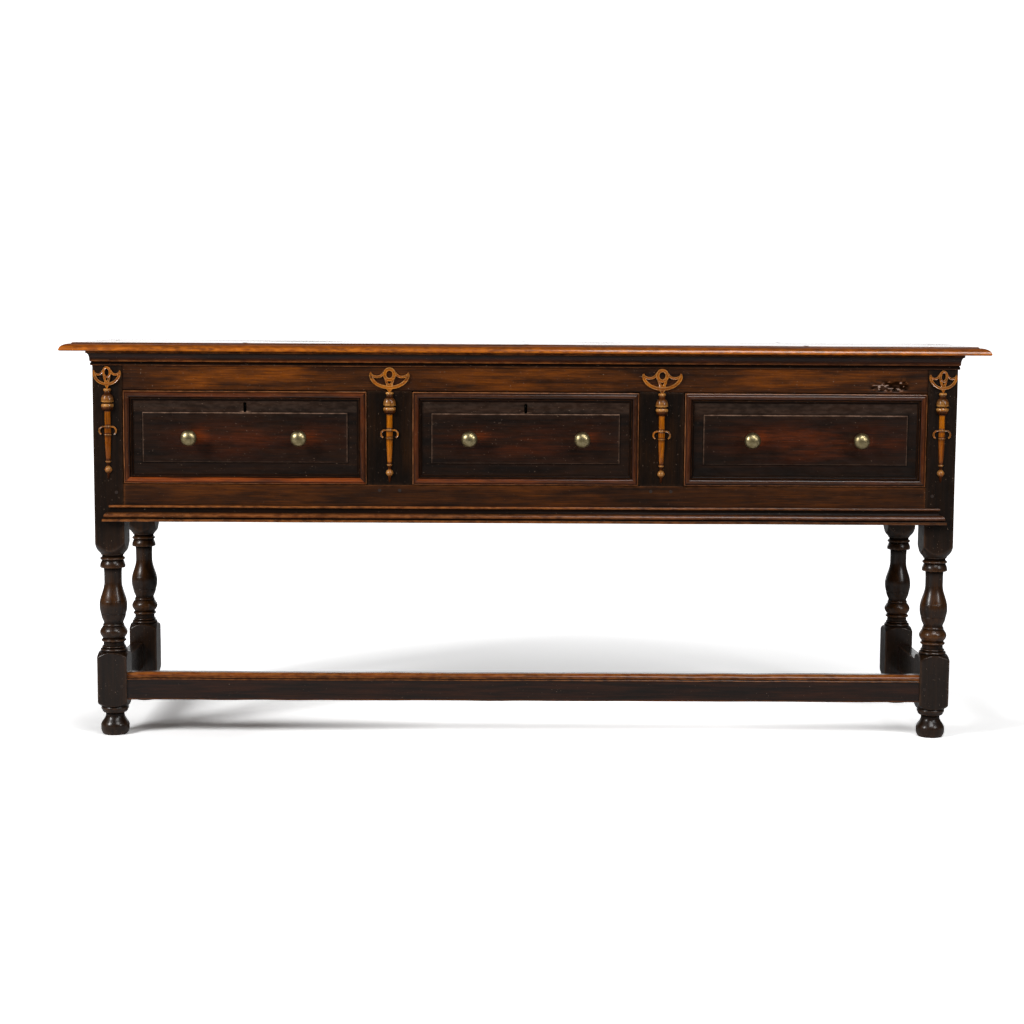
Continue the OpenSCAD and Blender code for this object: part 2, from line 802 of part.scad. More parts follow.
// Stretchers
module front_stretcher() {
    z1 = stretcher_z + stretcher_h;
    y0 = stretcher_set;
    y1 = stretcher_set + stretcher_t;
    // Round upper edge, a small quirk and a bead below it
    edge = concat(
        [[y1, stretcher_z], [y1, z1], [y0 + stretcher_thumb, z1]],
        [for (a = [10 : 10 : 90]) [y0 + stretcher_thumb * (1 - sin(a)), z1 - stretcher_thumb * (1 - cos(a))]],
        [[y0 + 1.8, z1 - stretcher_thumb - 1], [y0 + 1.8, z1 - stretcher_thumb - 2],
            [y0 + 0.3, z1 - stretcher_thumb - 3], [y0 + 0.3, z1 - stretcher_thumb - 5.5],
            [y0 + 0.8, z1 - stretcher_thumb - 6.5], [y0 + 0.8, stretcher_z]]);
    in_place() color(oak_rail)
        difference() {
            union() {
                along_x(-leg_in, leg_in, edge);
                tenon_x(-leg_in - tenon_l, leg_in + tenon_l, stretcher_mid, stretcher_z, z1);
            }
            for (side = [-1, 1]) front_corner_pegs(side, peg_r, cut);
        }
}

module side_stretcher(side) {
    x_mid = side * (half_l - stretcher_mid);
    in_place() color(oak_dark)
        difference() {
            union() {
                box(x_mid - stretcher_t / 2, x_mid + stretcher_t / 2, leg_w, body_depth - leg_w,
                    stretcher_z, stretcher_z + stretcher_h);
                tenon_y(leg_w - tenon_l, body_depth - leg_w + tenon_l, x_mid,
                    stretcher_z, stretcher_z + stretcher_h);
            }
            side_pegs(side, peg_r, cut);
        }
}

module side_stretcher_left() {
    side_stretcher(-1);
}
module side_stretcher_right() {
    side_stretcher(1);
}

// Cove moulding: [projection, height below the top] of its outline, from the bottom up
cove_profile = concat(
    [[0, -cove_h], [3, -cove_h], [3, -cove_h + 5.5], [1.6, -cove_h + 6.5], [1.6, -cove_h + 7.5],
        [3.6, -cove_h + 8], [3.6, -cove_h + 10]],
    [for (a = [15 : 15 : 90]) [lerp(4.4, cove_out - 1.5, 1 - cos(a)),
        lerp(-cove_h + 11, -5, sin(a))]],
    [[cove_out, -5], [cove_out, -0.8], [cove_out - 0.8, 0], [0, 0]]);

module cove_front() {
    m = cove_out + cut;
    intersection() {
        along_x(-half_l - m, half_l + m, [for (p = cove_profile) [-p[0], frame_top + p[1]]]);
        translate([0, 0, frame_top - cove_h - cut]) linear_extrude(cove_h + 2 * cut)
            polygon([[-half_l + mitre_gap, 0], [half_l - mitre_gap, 0],
                [half_l - mitre_gap + m, -m], [-half_l + mitre_gap - m, -m]]);
    }
}

module cove_side_right() {
    m = cove_out + cut;
    intersection() {
        along_y(-m, body_depth, [for (p = cove_profile) [half_l + p[0], frame_top + p[1]]]);
        translate([0, 0, frame_top - cove_h - cut]) linear_extrude(cove_h + 2 * cut)
            polygon([[half_l, mitre_gap], [half_l + m, -m + mitre_gap],
                [half_l + m, body_depth + cut], [half_l, body_depth + cut]]);
    }
}

module cove_moulding() {
    in_place() color(oak_dark) {
        cove_front();
        cove_side_right();
        mirror([1, 0, 0]) cove_side_right();
    }
}

// Base moulding: [projection, height above its lower edge], from the bottom up
base_profile = concat(
    [[0, 0], [base_out - 1, 0], [base_out, 1], [base_out, 5.5], [base_out - 1, 6.8], [base_out - 4, 7.2],
        [base_out - 4, 8.6]],
    [for (a = [0 : 15 : 90]) [lerp(7.5, base_out - 2.5, cos(a)), lerp(8.8, 19, sin(a))]],
    [[5.5, 20]],
    [for (a = [15 : 15 : 75]) [lerp(5.5, 3, sin(a)), lerp(20, base_h - 6, 1 - cos(a))]],
    [[3, base_h - 6]],
    [for (a = [-60 : 30 : 90]) [3.4 + 2.6 * cos(a), base_h - 3 + 3 * sin(a)]],
    [[0, base_h]]);

module base_moulding() {
    return_x = half_l - base_return;
    m = base_out + cut;
    in_place() color(mould_brown)
        intersection() {
            along_x(-return_x - m, return_x + m, [for (p = base_profile) [-p[0], frame_low + p[1]]]);
            along_y(-m, cut, concat(
                [for (p = base_profile) [return_x + p[0], frame_low + p[1]]],
                [for (i = [len(base_profile) - 1 : -1 : 0])
                    [-return_x - base_profile[i][0], frame_low + base_profile[i][1]]]));
        }
}

// Drawer runners: [edge of the opening, direction towards the drawer]
runner_edges = [
    [-leg_in, 1], [-muntin_x - muntin_w / 2, -1],
    [-muntin_x + muntin_w / 2, 1], [muntin_x - muntin_w / 2, -1],
    [muntin_x + muntin_w / 2, 1], [leg_in, -1]
];
// Runner nails: two in each runner, close to its ends, in the front and the rear housings
nail_l = 30;
nail_head_r = nail_d / 2 + 0.5;
nail_head_t = 1.5;
nail_edge = 0.4;
nail_y = [runner_front + nail_head_r + nail_edge, runner_end - nail_head_r - nail_edge];

module runner_nail(edge, y, extra) {
    translate([edge[0] + edge[1] * runner_out, y, runner_z + runner_h / 2])
        rotate([0, 90 * edge[1], 0]) {
            translate([0, 0, -nail_l - extra]) cylinder(r = nail_d / 2 + extra, h = nail_l + extra);
            translate([0, 0, -nail_head_t - extra])
                cylinder(r = nail_head_r + extra, h = nail_head_t + extra);
        }
}

module drawer_runners() {
    in_place() color(oak_inside)
        for (edge = runner_edges)
            difference() {
                box(min(edge[0] + edge[1] * runner_out, edge[0] - edge[1] * runner_in),
                    max(edge[0] + edge[1] * runner_out, edge[0] - edge[1] * runner_in),
                    runner_front, runner_end, runner_z, runner_z + runner_h);
                for (y = nail_y) runner_nail(edge, y, peg_gap);
            }
}

module runner_nails() {
    in_place() color(iron_old)
        for (edge = runner_edges)
            for (y = nail_y) runner_nail(edge, y, 0);
}

// Mounts: a fretted crest over a split spindle with two scrolled ears
crest_base = frame_top - cove_h - crest_below_cove;
ring_mid = crest_base - crest_ring_r;

module crest(half_w, drop) {
    tip_up = 2;
    mid = (half_w * half_w + tip_up * tip_up - drop * drop) / (2 * (drop + tip_up));
    outer_r = mid + drop;
    inner_r = outer_r - crest_band + 0.7;
    wing = half_w - crest_band;
    difference() {
        union() {
            circle(r = crest_ring_r);
            difference() {
                translate([0, mid]) circle(r = outer_r);
                translate([0, mid + 1.5]) circle(r = inner_r);
                translate([-outer_r - cut, tip_up + 3]) square(2 * (outer_r + cut));
            }
            // Stem from the ring to the crescent and on to the spindle
            translate([-5.3, -drop + 2]) square([10.6, drop - crest_ring_r + 2]);
            polygon([[-7, -drop + 1.5], [7, -drop + 1.5], [4, -drop - 4.5], [-4, -drop - 4.5]]);
            // Two arms from the ring to the wings
            for (s = [-1, 1])
                polygon([[s * 9, -3], [s * (crest_ring_r - 1), 1], [s * (crest_ring_r + 4), -3],
                    [s * (wing - 3), -6], [s * (wing + 1), -4], [s * (wing + 1), -9],
                    [s * (wing - 4), -10.5], [s * (crest_ring_r + 1), -8.5], [s * 9, -10]]);
        }
        circle(r = crest_hole_r);
    }
}

// Spindle profile, from its lower tip up
function spindle_profile(top_z) = concat(
    [[0, top_z - spindle_l], [1, top_z - spindle_l]],
    quarter(top_z - spindle_l + 1, 1.2, top_z - spindle_l + 11, 2.6, 4),
    bead(top_z - spindle_l + 12, top_z - spindle_l + 28, 2.6, 5, 10),
    [[3.4, top_z - spindle_l + 29], [3.4, top_z - spindle_l + 33]],
    bead(top_z - spindle_l + 34, top_z - spindle_l + 39, 4, 1.6, 6),
    bulged(top_z - spindle_l + 40, spindle_shaft_r - 1.8, top_z - 100, spindle_shaft_r + 0.4, 0.3, 4),
    bead(top_z - 98, top_z - 94.5, spindle_shaft_r + 0.4, 1.2, 4),
    [[spindle_shaft_r + 0.7, top_z - 94], [spindle_shaft_r + 0.7, top_z - 82]],
    bead(top_z - 81.5, top_z - 78, spindle_shaft_r + 0.4, 1.2, 4),
    [[spindle_shaft_r, top_z - 76], [spindle_shaft_r, top_z - 47.5]],
    quarter(top_z - 46.5, spindle_shaft_r + 0.6, top_z - 40, spindle_r - 1, 5),
    bead(top_z - 40, top_z - 32, spindle_r - 1.6, 1.6, 6),
    [[spindle_r - 3.5, top_z - 31], [spindle_r - 3.5, top_z - 29.5]],
    [for (i = [0 : 8]) [lerp(spindle_shaft_r + 1.4, spindle_r, cos(90 * i / 8)),
        lerp(top_z - 28, top_z - 13, sin(90 * i / 8))]],
    [[spindle_shaft_r + 0.6, top_z - 12], [spindle_shaft_r + 0.6, top_z - 6.5]],
    bead(top_z - 6, top_z - 0.5, spindle_shaft_r + 0.4, 1.8, 6),
    [[0, top_z - 0.5]]);

module split_spindle(x, top_z) {
    ear_z = top_z - 88;
    translate([x, 0, 0]) {
        intersection() {
            rotate_extrude() polygon(spindle_profile(top_z));
            box(-spindle_r - cut, spindle_r + cut, -spindle_r - cut, 0, top_z - spindle_l - cut, top_z + cut);
        }
        for (s = [-1, 1])
            translate([s * ear_r, 0, ear_z]) rotate([90, 0, 0])
                difference() {
                    cylinder(r = ear_r, h = 4);
                    translate([0, 0, -cut]) cylinder(r = ear_r - 3, h = 4 + 2 * cut);
                }
    }
}

module crest_at(x, half_w, drop) {
    translate([x, 0, ring_mid]) rotate([90, 0, 0]) linear_extrude(crest_t) crest(half_w, drop);
}

module stile_mount(side) {
    in_place() color(mount_gold) {
        crest_at(side * (half_l - leg_axis), crest_half_stile, crest_drop_stile);
        split_spindle(side * (half_l - leg_axis), ring_mid - crest_drop_stile - 5);
    }
}

module muntin_mount(side) {
    in_place() color(mount_gold) {
        crest_at(side * muntin_x, crest_half_muntin, crest_drop_muntin);
        split_spindle(side * muntin_x, ring_mid - crest_drop_muntin - 5);
    }
}

module stile_mount_left() {
    stile_mount(-1);
}
module stile_mount_right() {
    stile_mount(1);
}
module muntin_mount_left() {
    muntin_mount(-1);
}
module muntin_mount_right() {
    muntin_mount(1);
}

module oak_pegs() {
    r = peg_r - peg_gap;
    in_place() color(oak_dark) {
        for (side = [-1, 1]) {
            front_corner_pegs(side, r, 0);
            rear_corner_pegs(side, r, 0);
            side_pegs(side, r, 0);
            front_muntin_pegs(side, r, 0);
            rear_muntin_pegs(side, r, 0);
        }
        top_pegs(top_peg_r - peg_gap, 0);
    }
}

// Drawers. Each module takes the drawer's middle x and the width of its opening.
module lock_recess(x) {
    box(x - lock_w / 2, x + lock_w / 2, lock_y, box_front + cut, front_top - lock_h, front_top + cut);
}

module keyhole(x) {
    r = keyhole_w / 2;
    for (dz = [-1, 1])
        bar_y(x, keyhole_z + dz * (keyhole_h / 2 - r), r, field_y - cut, box_front + cut);
    box(x - r, x + r, field_y - cut, box_front + cut,
        keyhole_z - keyhole_h / 2 + r, keyhole_z + keyhole_h / 2 - r);
}

module drawer_front(x, opening, pitch, locked) {
    w = opening / 2 - front_gap;
    field_x = opening / 2 - field_border_x;
    field_z = opening_h / 2 - field_border_z;
    side_x = opening / 2 - side_gap - side_t;
    in_place() color(oak_front)
        difference() {
            union() {
                box(x - w, x + w, front_set, box_front, front_low, front_top);
                box(x - field_x, x + field_x, field_y, front_set + cut,
                    opening_mid - field_z, opening_mid + field_z);
            }
            for (s = [-1, 1]) {
                box(min(x + s * side_x, x + s * (w + cut)), max(x + s * side_x, x + s * (w + cut)),
                    front_set + front_lap, box_front + cut, side_low, side_top);
                bar_y(x + s * pitch / 2, opening_mid, knob_tang_r, field_y - cut, box_front + cut);
            }
            box(x - w - cut, x + w + cut, front_set + front_lap, box_front + cut, front_low - cut, side_low);
            if (locked) {
                lock_recess(x);
                keyhole(x);
            }
        }
}

module drawer_side(x, opening, s) {
    x_out = x + s * (opening / 2 - side_gap);
    x_in = x_out - s * side_t;
    x_groove = x_out - s * side_groove;
    in_place() color(oak_inside)
        difference() {
            box(min(x_in, x_out), max(x_in, x_out), front_set + front_lap, box_rear, side_low, side_top);
            box(min(x_groove, x_out + s * cut), max(x_groove, x_out + s * cut),
                box_front, box_rear + cut, runner_z - groove_gap, runner_z + runner_h + run_gap);
        }
}

module drawer_back(x, opening) {
    w = opening / 2 - side_gap - side_t;
    in_place() color(oak_inside) box(x - w, x + w, box_rear - back_t, box_rear,
        side_low, side_top - back_drop);
}

module drawer_bottom(x, opening) {
    w = opening / 2 - side_gap;
    in_place() color(oak_inside) box(x - w, x + w, front_set + front_lap, box_rear, front_low, side_low);
}

// Drawer moulding: [distance in from the outer edge, height], a round ridge, a quirk and a slope
mould_profile = concat(
    [[0, 0], [0, mould_h * 0.45]],
    [for (a = [0 : 15 : 165]) [0.6 + mould_w * 0.29 * (1 - cos(a)), mould_h * (0.45 + 0.55 * sin(a))]],
    [[mould_w * 0.62, mould_h * 0.42], [mould_w * 0.68, mould_h * 0.44]],
    [for (a = [15 : 15 : 75]) [lerp(mould_w * 0.68, mould_w, sin(a) * 0.9),
        lerp(mould_h * 0.42, mould_h * 0.12, 1 - cos(a))]],
    [[mould_w, mould_h * 0.12], [mould_w, 0]]);

module mould_strip(len) {
    intersection() {
        along_x(-len / 2, len / 2, [for (p = mould_profile) [-p[1], -p[0]]]);
        translate([0, cut, 0]) rotate([90, 0, 0]) linear_extrude(mould_h + 2 * cut)
            polygon([[-len / 2 + mitre_gap, 0], [len / 2 - mitre_gap, 0],
                [len / 2 - mitre_gap - mould_w, -mould_w], [-len / 2 + mitre_gap + mould_w, -mould_w]]);
    }
}

module drawer_mouldings(x, opening) {
    w = opening - 2 * front_gap;
    h = opening_h - 2 * front_gap;
    in_place() color(mould_brown)
        translate([x, front_set, opening_mid]) {
            translate([0, 0, h / 2]) mould_strip(w);
            rotate([0, 180, 0]) translate([0, 0, h / 2]) mould_strip(w);
            rotate([0, 90, 0]) translate([0, 0, w / 2]) mould_strip(h);
            rotate([0, -90, 0]) translate([0, 0, w / 2]) mould_strip(h);
        }
}

// Knob, turned from [radius, distance out from the field]
knob_tang_r = 4;
knob_tang_gap = 0.1;
function knob_profile() = concat(
    [[0, -front_t - field_out], [knob_tang_r - knob_tang_gap, -front_t - field_out],
        [knob_tang_r - knob_tang_gap, 0], [knob_neck_d / 2 + 2.5, 0], [knob_neck_d / 2 + 2.5, 1.5],
        [knob_neck_d / 2 + 0.8, 3], [knob_neck_d / 2, 5], [knob_neck_d / 2, knob_out - knob_ball_l]],
    [for (a = [-66 : 6 : 84]) [knob_d / 2 * cos(a), knob_out - knob_ball_l / 2 + knob_ball_l / 2 * sin(a)]],
    [[1.2, knob_out], [0.5, knob_out - 0.8], [0, knob_out - 0.8]]);

module drawer_knobs(x, pitch) {
    in_place() color(brass_old)
        for (s = [-1, 1])
            translate([x + s * pitch / 2, field_y, opening_mid]) rotate([90, 0, 0])
                rotate_extrude() polygon(knob_profile());
}

// Locks
lock_skin = 2;
bolt_low = front_top - lock_h + lock_skin;
bolt_top = front_top - 0.5;
pin_r = 1.6;
pin_z = keyhole_z + keyhole_h / 2 - keyhole_w / 2 - 4;
module lock_case(x) {
    in_place() color(iron_old) {
        difference() {
            box(x - lock_w / 2, x + lock_w / 2, lock_y, box_front, front_top - lock_h, front_top);
            box(x - bolt_w / 2 - run_gap, x + bolt_w / 2 + run_gap,
                bolt_y - bolt_t / 2 - run_gap, bolt_y + bolt_t / 2 + run_gap,
                bolt_low - run_gap, front_top + cut);
            // Way in for the key, from the front of the case to its bolt
            box(x - keyhole_w / 2, x + keyhole_w / 2, lock_y - cut, bolt_y,
                keyhole_z - keyhole_h / 2, keyhole_z + keyhole_h / 2);
        }
        // Pin that the key's hollow shank goes over
        bar_y(x, pin_z, pin_r, lock_y - 4, box_front);
    }
}

module lock_bolt(x) {
    notch_w = bolt_w - 10;
    in_place() color(iron_old)
        difference() {
            box(x - bolt_w / 2, x + bolt_w / 2, bolt_y - bolt_t / 2, bolt_y + bolt_t / 2,
                bolt_low, bolt_top);
            box(x - notch_w / 2, x + notch_w / 2, bolt_y - bolt_t, bolt_y + bolt_t,
                keyhole_z - keyhole_h / 2 - 2, keyhole_z + keyhole_h / 2 + 2);
        }
}

module left_drawer_front() {
    drawer_front(-outer_x, outer_opening, knob_pitch_outer, true);
}
module left_drawer_side_left() {
    drawer_side(-outer_x, outer_opening, -1);
}
module left_drawer_side_right() {
    drawer_side(-outer_x, outer_opening, 1);
}
module left_drawer_back() {
    drawer_back(-outer_x, outer_opening);
}
module left_drawer_bottom() {
    drawer_bottom(-outer_x, outer_opening);
}
module left_drawer_mouldings() {
    drawer_mouldings(-outer_x, outer_opening);
}
module left_drawer_knobs() {
    drawer_knobs(-outer_x, knob_pitch_outer);
}
module left_lock_case() {
    lock_case(-outer_x);
}
module left_lock_bolt() {
    lock_bolt(-outer_x);
}
module middle_drawer_front() {
    drawer_front(0, middle_opening, knob_pitch_middle, true);
}
module middle_drawer_side_left() {
    drawer_side(0, middle_opening, -1);
}
module middle_drawer_side_right() {
    drawer_side(0, middle_opening, 1);
}
module middle_drawer_back() {
    drawer_back(0, middle_opening);
}
module middle_drawer_bottom() {
    drawer_bottom(0, middle_opening);
}
module middle_drawer_mouldings() {
    drawer_mouldings(0, middle_opening);
}
module middle_drawer_knobs() {
    drawer_knobs(0, knob_pitch_middle);
}
module middle_lock_case() {
    lock_case(0);
}
module middle_lock_bolt() {
    lock_bolt(0);
}
module right_drawer_front() {
    drawer_front(outer_x, outer_opening, knob_pitch_outer, false);
}
module right_drawer_side_left() {
    drawer_side(outer_x, outer_opening, -1);
}
module right_drawer_side_right() {
    drawer_side(outer_x, outer_opening, 1);
}
module right_drawer_back() {
    drawer_back(outer_x, outer_opening);
}
module right_drawer_bottom() {
    drawer_bottom(outer_x, outer_opening);
}
module right_drawer_mouldings() {
    drawer_mouldings(outer_x, outer_opening);
}
module right_drawer_knobs() {
    drawer_knobs(outer_x, knob_pitch_outer);
}

top_board_front();
top_board_rear();
front_leg_left();
front_leg_right();
rear_leg_left();
rear_leg_right();
front_top_rail();
front_bottom_rail();
front_muntin_left();
front_muntin_right();
rear_top_rail();
rear_bottom_rail();
rear_muntin_left();
rear_muntin_right();
side_top_rail_left();
side_top_rail_right();
side_bottom_rail_left();
side_bottom_rail_right();
side_panel_left();
side_panel_right();
rear_panel_left();
rear_panel_middle();
rear_panel_right();
front_stretcher();
side_stretcher_left();
side_stretcher_right();
cove_moulding();
base_moulding();
drawer_runners();
stile_mount_left();
stile_mount_right();
muntin_mount_left();
muntin_mount_right();
oak_pegs();
runner_nails();
left_drawer_front();
left_drawer_side_left();
left_drawer_side_right();
left_drawer_back();
left_drawer_bottom();
left_drawer_mouldings();
left_drawer_knobs();
left_lock_case();
left_lock_bolt();
middle_drawer_front();
middle_drawer_side_left();
middle_drawer_side_right();
middle_drawer_back();
middle_drawer_bottom();
middle_drawer_mouldings();
middle_drawer_knobs();
middle_lock_case();
middle_lock_bolt();
right_drawer_front();
right_drawer_side_left();
right_drawer_side_right();
right_drawer_back();
right_drawer_bottom();
right_drawer_mouldings();
right_drawer_knobs();
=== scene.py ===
# %% [markdown]
# An old joined oak dresser base: four turned legs, a frame of rails pegged into them, three drawers with
# mitred mouldings, and split turnings glued on as ornament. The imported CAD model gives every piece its
# place and size. This lesson dresses it: worn edges, waxed oak, old brass. Lengths in the formulas are
# millimetres.
# %% Frame and tools
import json
import math
import bpy
import numpy as np
from mathutils import Matrix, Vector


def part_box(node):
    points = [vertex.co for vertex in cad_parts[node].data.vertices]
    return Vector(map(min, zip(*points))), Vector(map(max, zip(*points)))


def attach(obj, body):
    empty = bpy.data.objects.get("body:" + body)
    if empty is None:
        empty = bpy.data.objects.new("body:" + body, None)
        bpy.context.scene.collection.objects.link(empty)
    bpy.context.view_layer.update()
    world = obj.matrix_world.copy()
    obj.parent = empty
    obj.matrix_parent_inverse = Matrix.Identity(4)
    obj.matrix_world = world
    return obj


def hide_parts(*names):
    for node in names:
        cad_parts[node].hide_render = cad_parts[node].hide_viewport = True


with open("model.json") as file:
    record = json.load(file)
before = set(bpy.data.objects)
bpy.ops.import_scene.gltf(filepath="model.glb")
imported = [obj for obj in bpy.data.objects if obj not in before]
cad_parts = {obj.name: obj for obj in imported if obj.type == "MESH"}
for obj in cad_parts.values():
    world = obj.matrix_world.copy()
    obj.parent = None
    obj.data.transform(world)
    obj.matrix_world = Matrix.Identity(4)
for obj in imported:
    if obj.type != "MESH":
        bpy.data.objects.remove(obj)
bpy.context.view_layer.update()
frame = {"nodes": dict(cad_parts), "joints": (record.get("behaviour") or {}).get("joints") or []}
MM = 0.001


# %% [markdown]
# The pieces take their places and outer sizes from the CAD nodes' boxes. `low` and `high` give a node's
# corners in millimetres, and FRONT is the plane of the legs' front faces, on which mouldings and mounts are
# glued.
# %% Places read from the frame
def low(node):
    return np.array(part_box(node)[0]) / MM


def high(node):
    return np.array(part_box(node)[1]) / MM


FRONT = low("front_leg_left")[1]
LEG_W = high("front_leg_left")[0] - low("front_leg_left")[0]
LEG_IN = high("front_leg_left")[0]
HALF = -low("front_leg_left")[0]
TOP = high("top_board_front")[2]
FRAME_TOP = low("top_board_front")[2]
BACK = high("rear_leg_left")[1]
print("front plane y", round(FRONT, 2), "half length", HALF, "top", TOP)


# %% [markdown]
# A photograph is taken from one place, so the camera is built from its position and three angles. Its long
# lens (about 69 mm) keeps the dresser nearly free of perspective. The rotation matrix has the camera's
# right, up and backward directions as its columns.
# %% Camera
CAMERA_AT = (-0.0689, -4.25565, 0.9123)
YAW, PITCH, ROLL = math.radians(0.584), math.radians(6.079), math.radians(0.33)
LENS, FILM_WIDTH, FAR_CLIP = 68.55, 36.0, 100.0
ahead = np.array([math.sin(YAW) * math.cos(PITCH), math.cos(YAW) * math.cos(PITCH), -math.sin(PITCH)])
level = np.array([math.cos(YAW), -math.sin(YAW), 0.0])
upward = np.cross(level, ahead)
right = math.cos(ROLL) * level + math.sin(ROLL) * upward
up = math.cos(ROLL) * upward - math.sin(ROLL) * level
camera = bpy.data.objects.new("camera", bpy.data.cameras.new("camera"))
bpy.context.scene.collection.objects.link(camera)
camera.data.lens, camera.data.sensor_width, camera.data.clip_end = LENS, FILM_WIDTH, FAR_CLIP
columns = np.column_stack([right, up, -ahead])
camera.matrix_world = Matrix.Translation(CAMERA_AT) @ Matrix(columns.tolist()).to_4x4()
bpy.context.scene.camera = camera
print("camera looks along", np.round(ahead, 4))


# %% [markdown]
# A material is a small network of nodes. `add` makes one node: settings are its properties, and inputs
# gives each socket either a fixed value or another node's output. `maths` and `ramp` ask it for the two
# kinds that are used most, and `empty_material` makes a network with nothing in it. `hex_colour` turns the
# sRGB colour that a screen shows into the linear colour that the renderer counts in.
# %% Helpers for materials
def hex_colour(text):
    """sRGB hex to linear: c / 12.92 below 0.04045, else ((c + 0.055) / 1.055) to the power 2.4."""
    values = [int(text[i:i + 2], 16) / 255 for i in (1, 3, 5)]
    return [v / 12.92 if v <= 0.04045 else ((v + 0.055) / 1.055) ** 2.4 for v in values] + [1.0]


def add(tree, kind, inputs=None, **settings):
    """Adds one node, sets its properties, and links or fills its inputs."""
    made = tree.nodes.new(kind)
    for key, value in settings.items():
        setattr(made, key, value)
    for key, value in (inputs or {}).items():
        if isinstance(value, bpy.types.NodeSocket):
            tree.links.new(value, made.inputs[key])
        else:
            made.inputs[key].default_value = value
    return made


def maths(tree, operation, *values, clamp=False):
    """One sum on numbers or sockets. MULTIPLY_ADD is a b + c."""
    node = add(tree, "ShaderNodeMath", dict(enumerate(values)), operation=operation, use_clamp=clamp)
    return node.outputs[0]


def ramp(tree, value, start, end, first, last):
    """A straight line from first, where value is start, to last, where it is end, and level beyond both."""
    return add(tree, "ShaderNodeMapRange", {0: value, 1: start, 2: end, 3: first, 4: last}).outputs[0]


def empty_material(name):
    """A new material and its tree, without a node in it."""
    material = bpy.data.materials.new(name)
    material.use_nodes = True
    material.node_tree.nodes.clear()
    return material, material.node_tree


print("half of sRGB is, in linear light,", round(hex_colour("#808080")[0], 3))


# %% [markdown]
# Colours are laid over one another as a finisher does it. Each layer has a share, the product of several
# factors: how much the stuff asks for it, and patterns that break it up.
# %% Layers of colour
def layered(tree, ground, layers):
    """Lays hex colours over a ground: each covers the product of its factors, kept between 0 and 1."""
    colour = hex_colour(ground)
    for over, factors in layers:
        share = factors[0]
        for factor in factors[1:]:
            share = maths(tree, "MULTIPLY", share, factor, clamp=True)
        mix = add(tree, "ShaderNodeMix", {0: share, 6: colour, 7: hex_colour(over)}, data_type="RGBA")
        colour = mix.outputs[2]
    return colour


# %% [markdown]
# The studio: a pale floor that runs up into a backdrop, and soft boxes. The key stands on the left, a weak
# fill on the right, a boom hangs above, and a fourth box lights gloss alone, which draws the bright band on
# the top's edge. Close to the dresser the lamps alone light the floor, so its shadow stays. Further off the
# paper also shines by itself for the camera, through Light Path, and ends in pure white. The dresser is
# nearly black, so what it reflects shows as much as what it is: reflections see an oval panel on the
# backdrop, a floor that is dark in front, and a dim room. The room is white for the camera alone, in every
# view.
# %% Floor, backdrop and lights
PAPER, PAPER_SEEN = 0.7, 1.8
DARK_AHEAD = (-1.6, -3.6, 0.0, -0.65)
PANEL_SCALE, PANEL_SHIFT, PANEL_RIM = (0.34, 0.0, 1.1), (-0.03, 0.0, -1.15), (0.75, 0.9, 1.4, 0.0)
SHADOW_SCALE, SHADOW_AT, SHADOW_RIM = (0.5, 1.0, 1.0), (-0.3, -0.1, 0.0), (0.1, 1.75, 0.0, 1.0)
LIT_LEFT, LIT_BEHIND = (-0.9, -1.2, 0.0, 0.8), (0.1, 0.5, 0.0, 0.22)
LIT_MIDDLE_AT, LIT_MIDDLE, LIT_BELOW = 0.13, (0.3, 0.75, 0.9, 0.0), (0.15, 0.4, 1.0, 0.0)


def studio_material(name):
    """Paper that shines more with the distance from the shadow's middle, and sooner at three places."""
    material, tree = empty_material(name)
    path = add(tree, "ShaderNodeLightPath").outputs
    place = add(tree, "ShaderNodeNewGeometry").outputs["Position"]
    across, depth, _ = add(tree, "ShaderNodeSeparateXYZ", {0: place}).outputs
    oval = add(tree, "ShaderNodeVectorMath", {0: place, 1: PANEL_SCALE, 2: PANEL_SHIFT},
               operation="MULTIPLY_ADD").outputs[0]
    reach = add(tree, "ShaderNodeVectorMath", {0: oval}, operation="LENGTH").outputs[1]
    panel = ramp(tree, reach, *PANEL_RIM)
    seen = maths(tree, "MULTIPLY_ADD", path["Is Glossy Ray"], panel, path["Is Camera Ray"])
    shade = ramp(tree, path["Is Camera Ray"], 0.0, 1.0, PAPER, PAPER_SEEN)
    shade = maths(tree, "MULTIPLY_ADD", path["Is Glossy Ray"], ramp(tree, depth, *DARK_AHEAD), shade)
    place = add(tree, "ShaderNodeVectorMath", {0: place, 1: SHADOW_SCALE}, operation="MULTIPLY").outputs[0]
    away = add(tree, "ShaderNodeVectorMath", {0: place, 1: SHADOW_AT}, operation="DISTANCE").outputs[1]
    middle = maths(tree, "ABSOLUTE", maths(tree, "SUBTRACT", across, LIT_MIDDLE_AT))
    middle = maths(tree, "MULTIPLY", ramp(tree, middle, *LIT_MIDDLE), ramp(tree, depth, *LIT_BELOW))
    for extra in (ramp(tree, across, *LIT_LEFT), ramp(tree, depth, *LIT_BEHIND), middle):
        away = maths(tree, "ADD", away, extra)
    strength = maths(tree, "MULTIPLY", seen, ramp(tree, away, *SHADOW_RIM))
    paper = add(tree, "ShaderNodeBsdfDiffuse", {"Color": shade}).outputs[0]
    light = add(tree, "ShaderNodeEmission", {"Color": (1.0, 1.0, 1.0, 1.0), "Strength": strength}).outputs[0]
    both = add(tree, "ShaderNodeAddShader", {0: paper, 1: light}).outputs[0]
    add(tree, "ShaderNodeOutputMaterial", {"Surface": both})
    return material


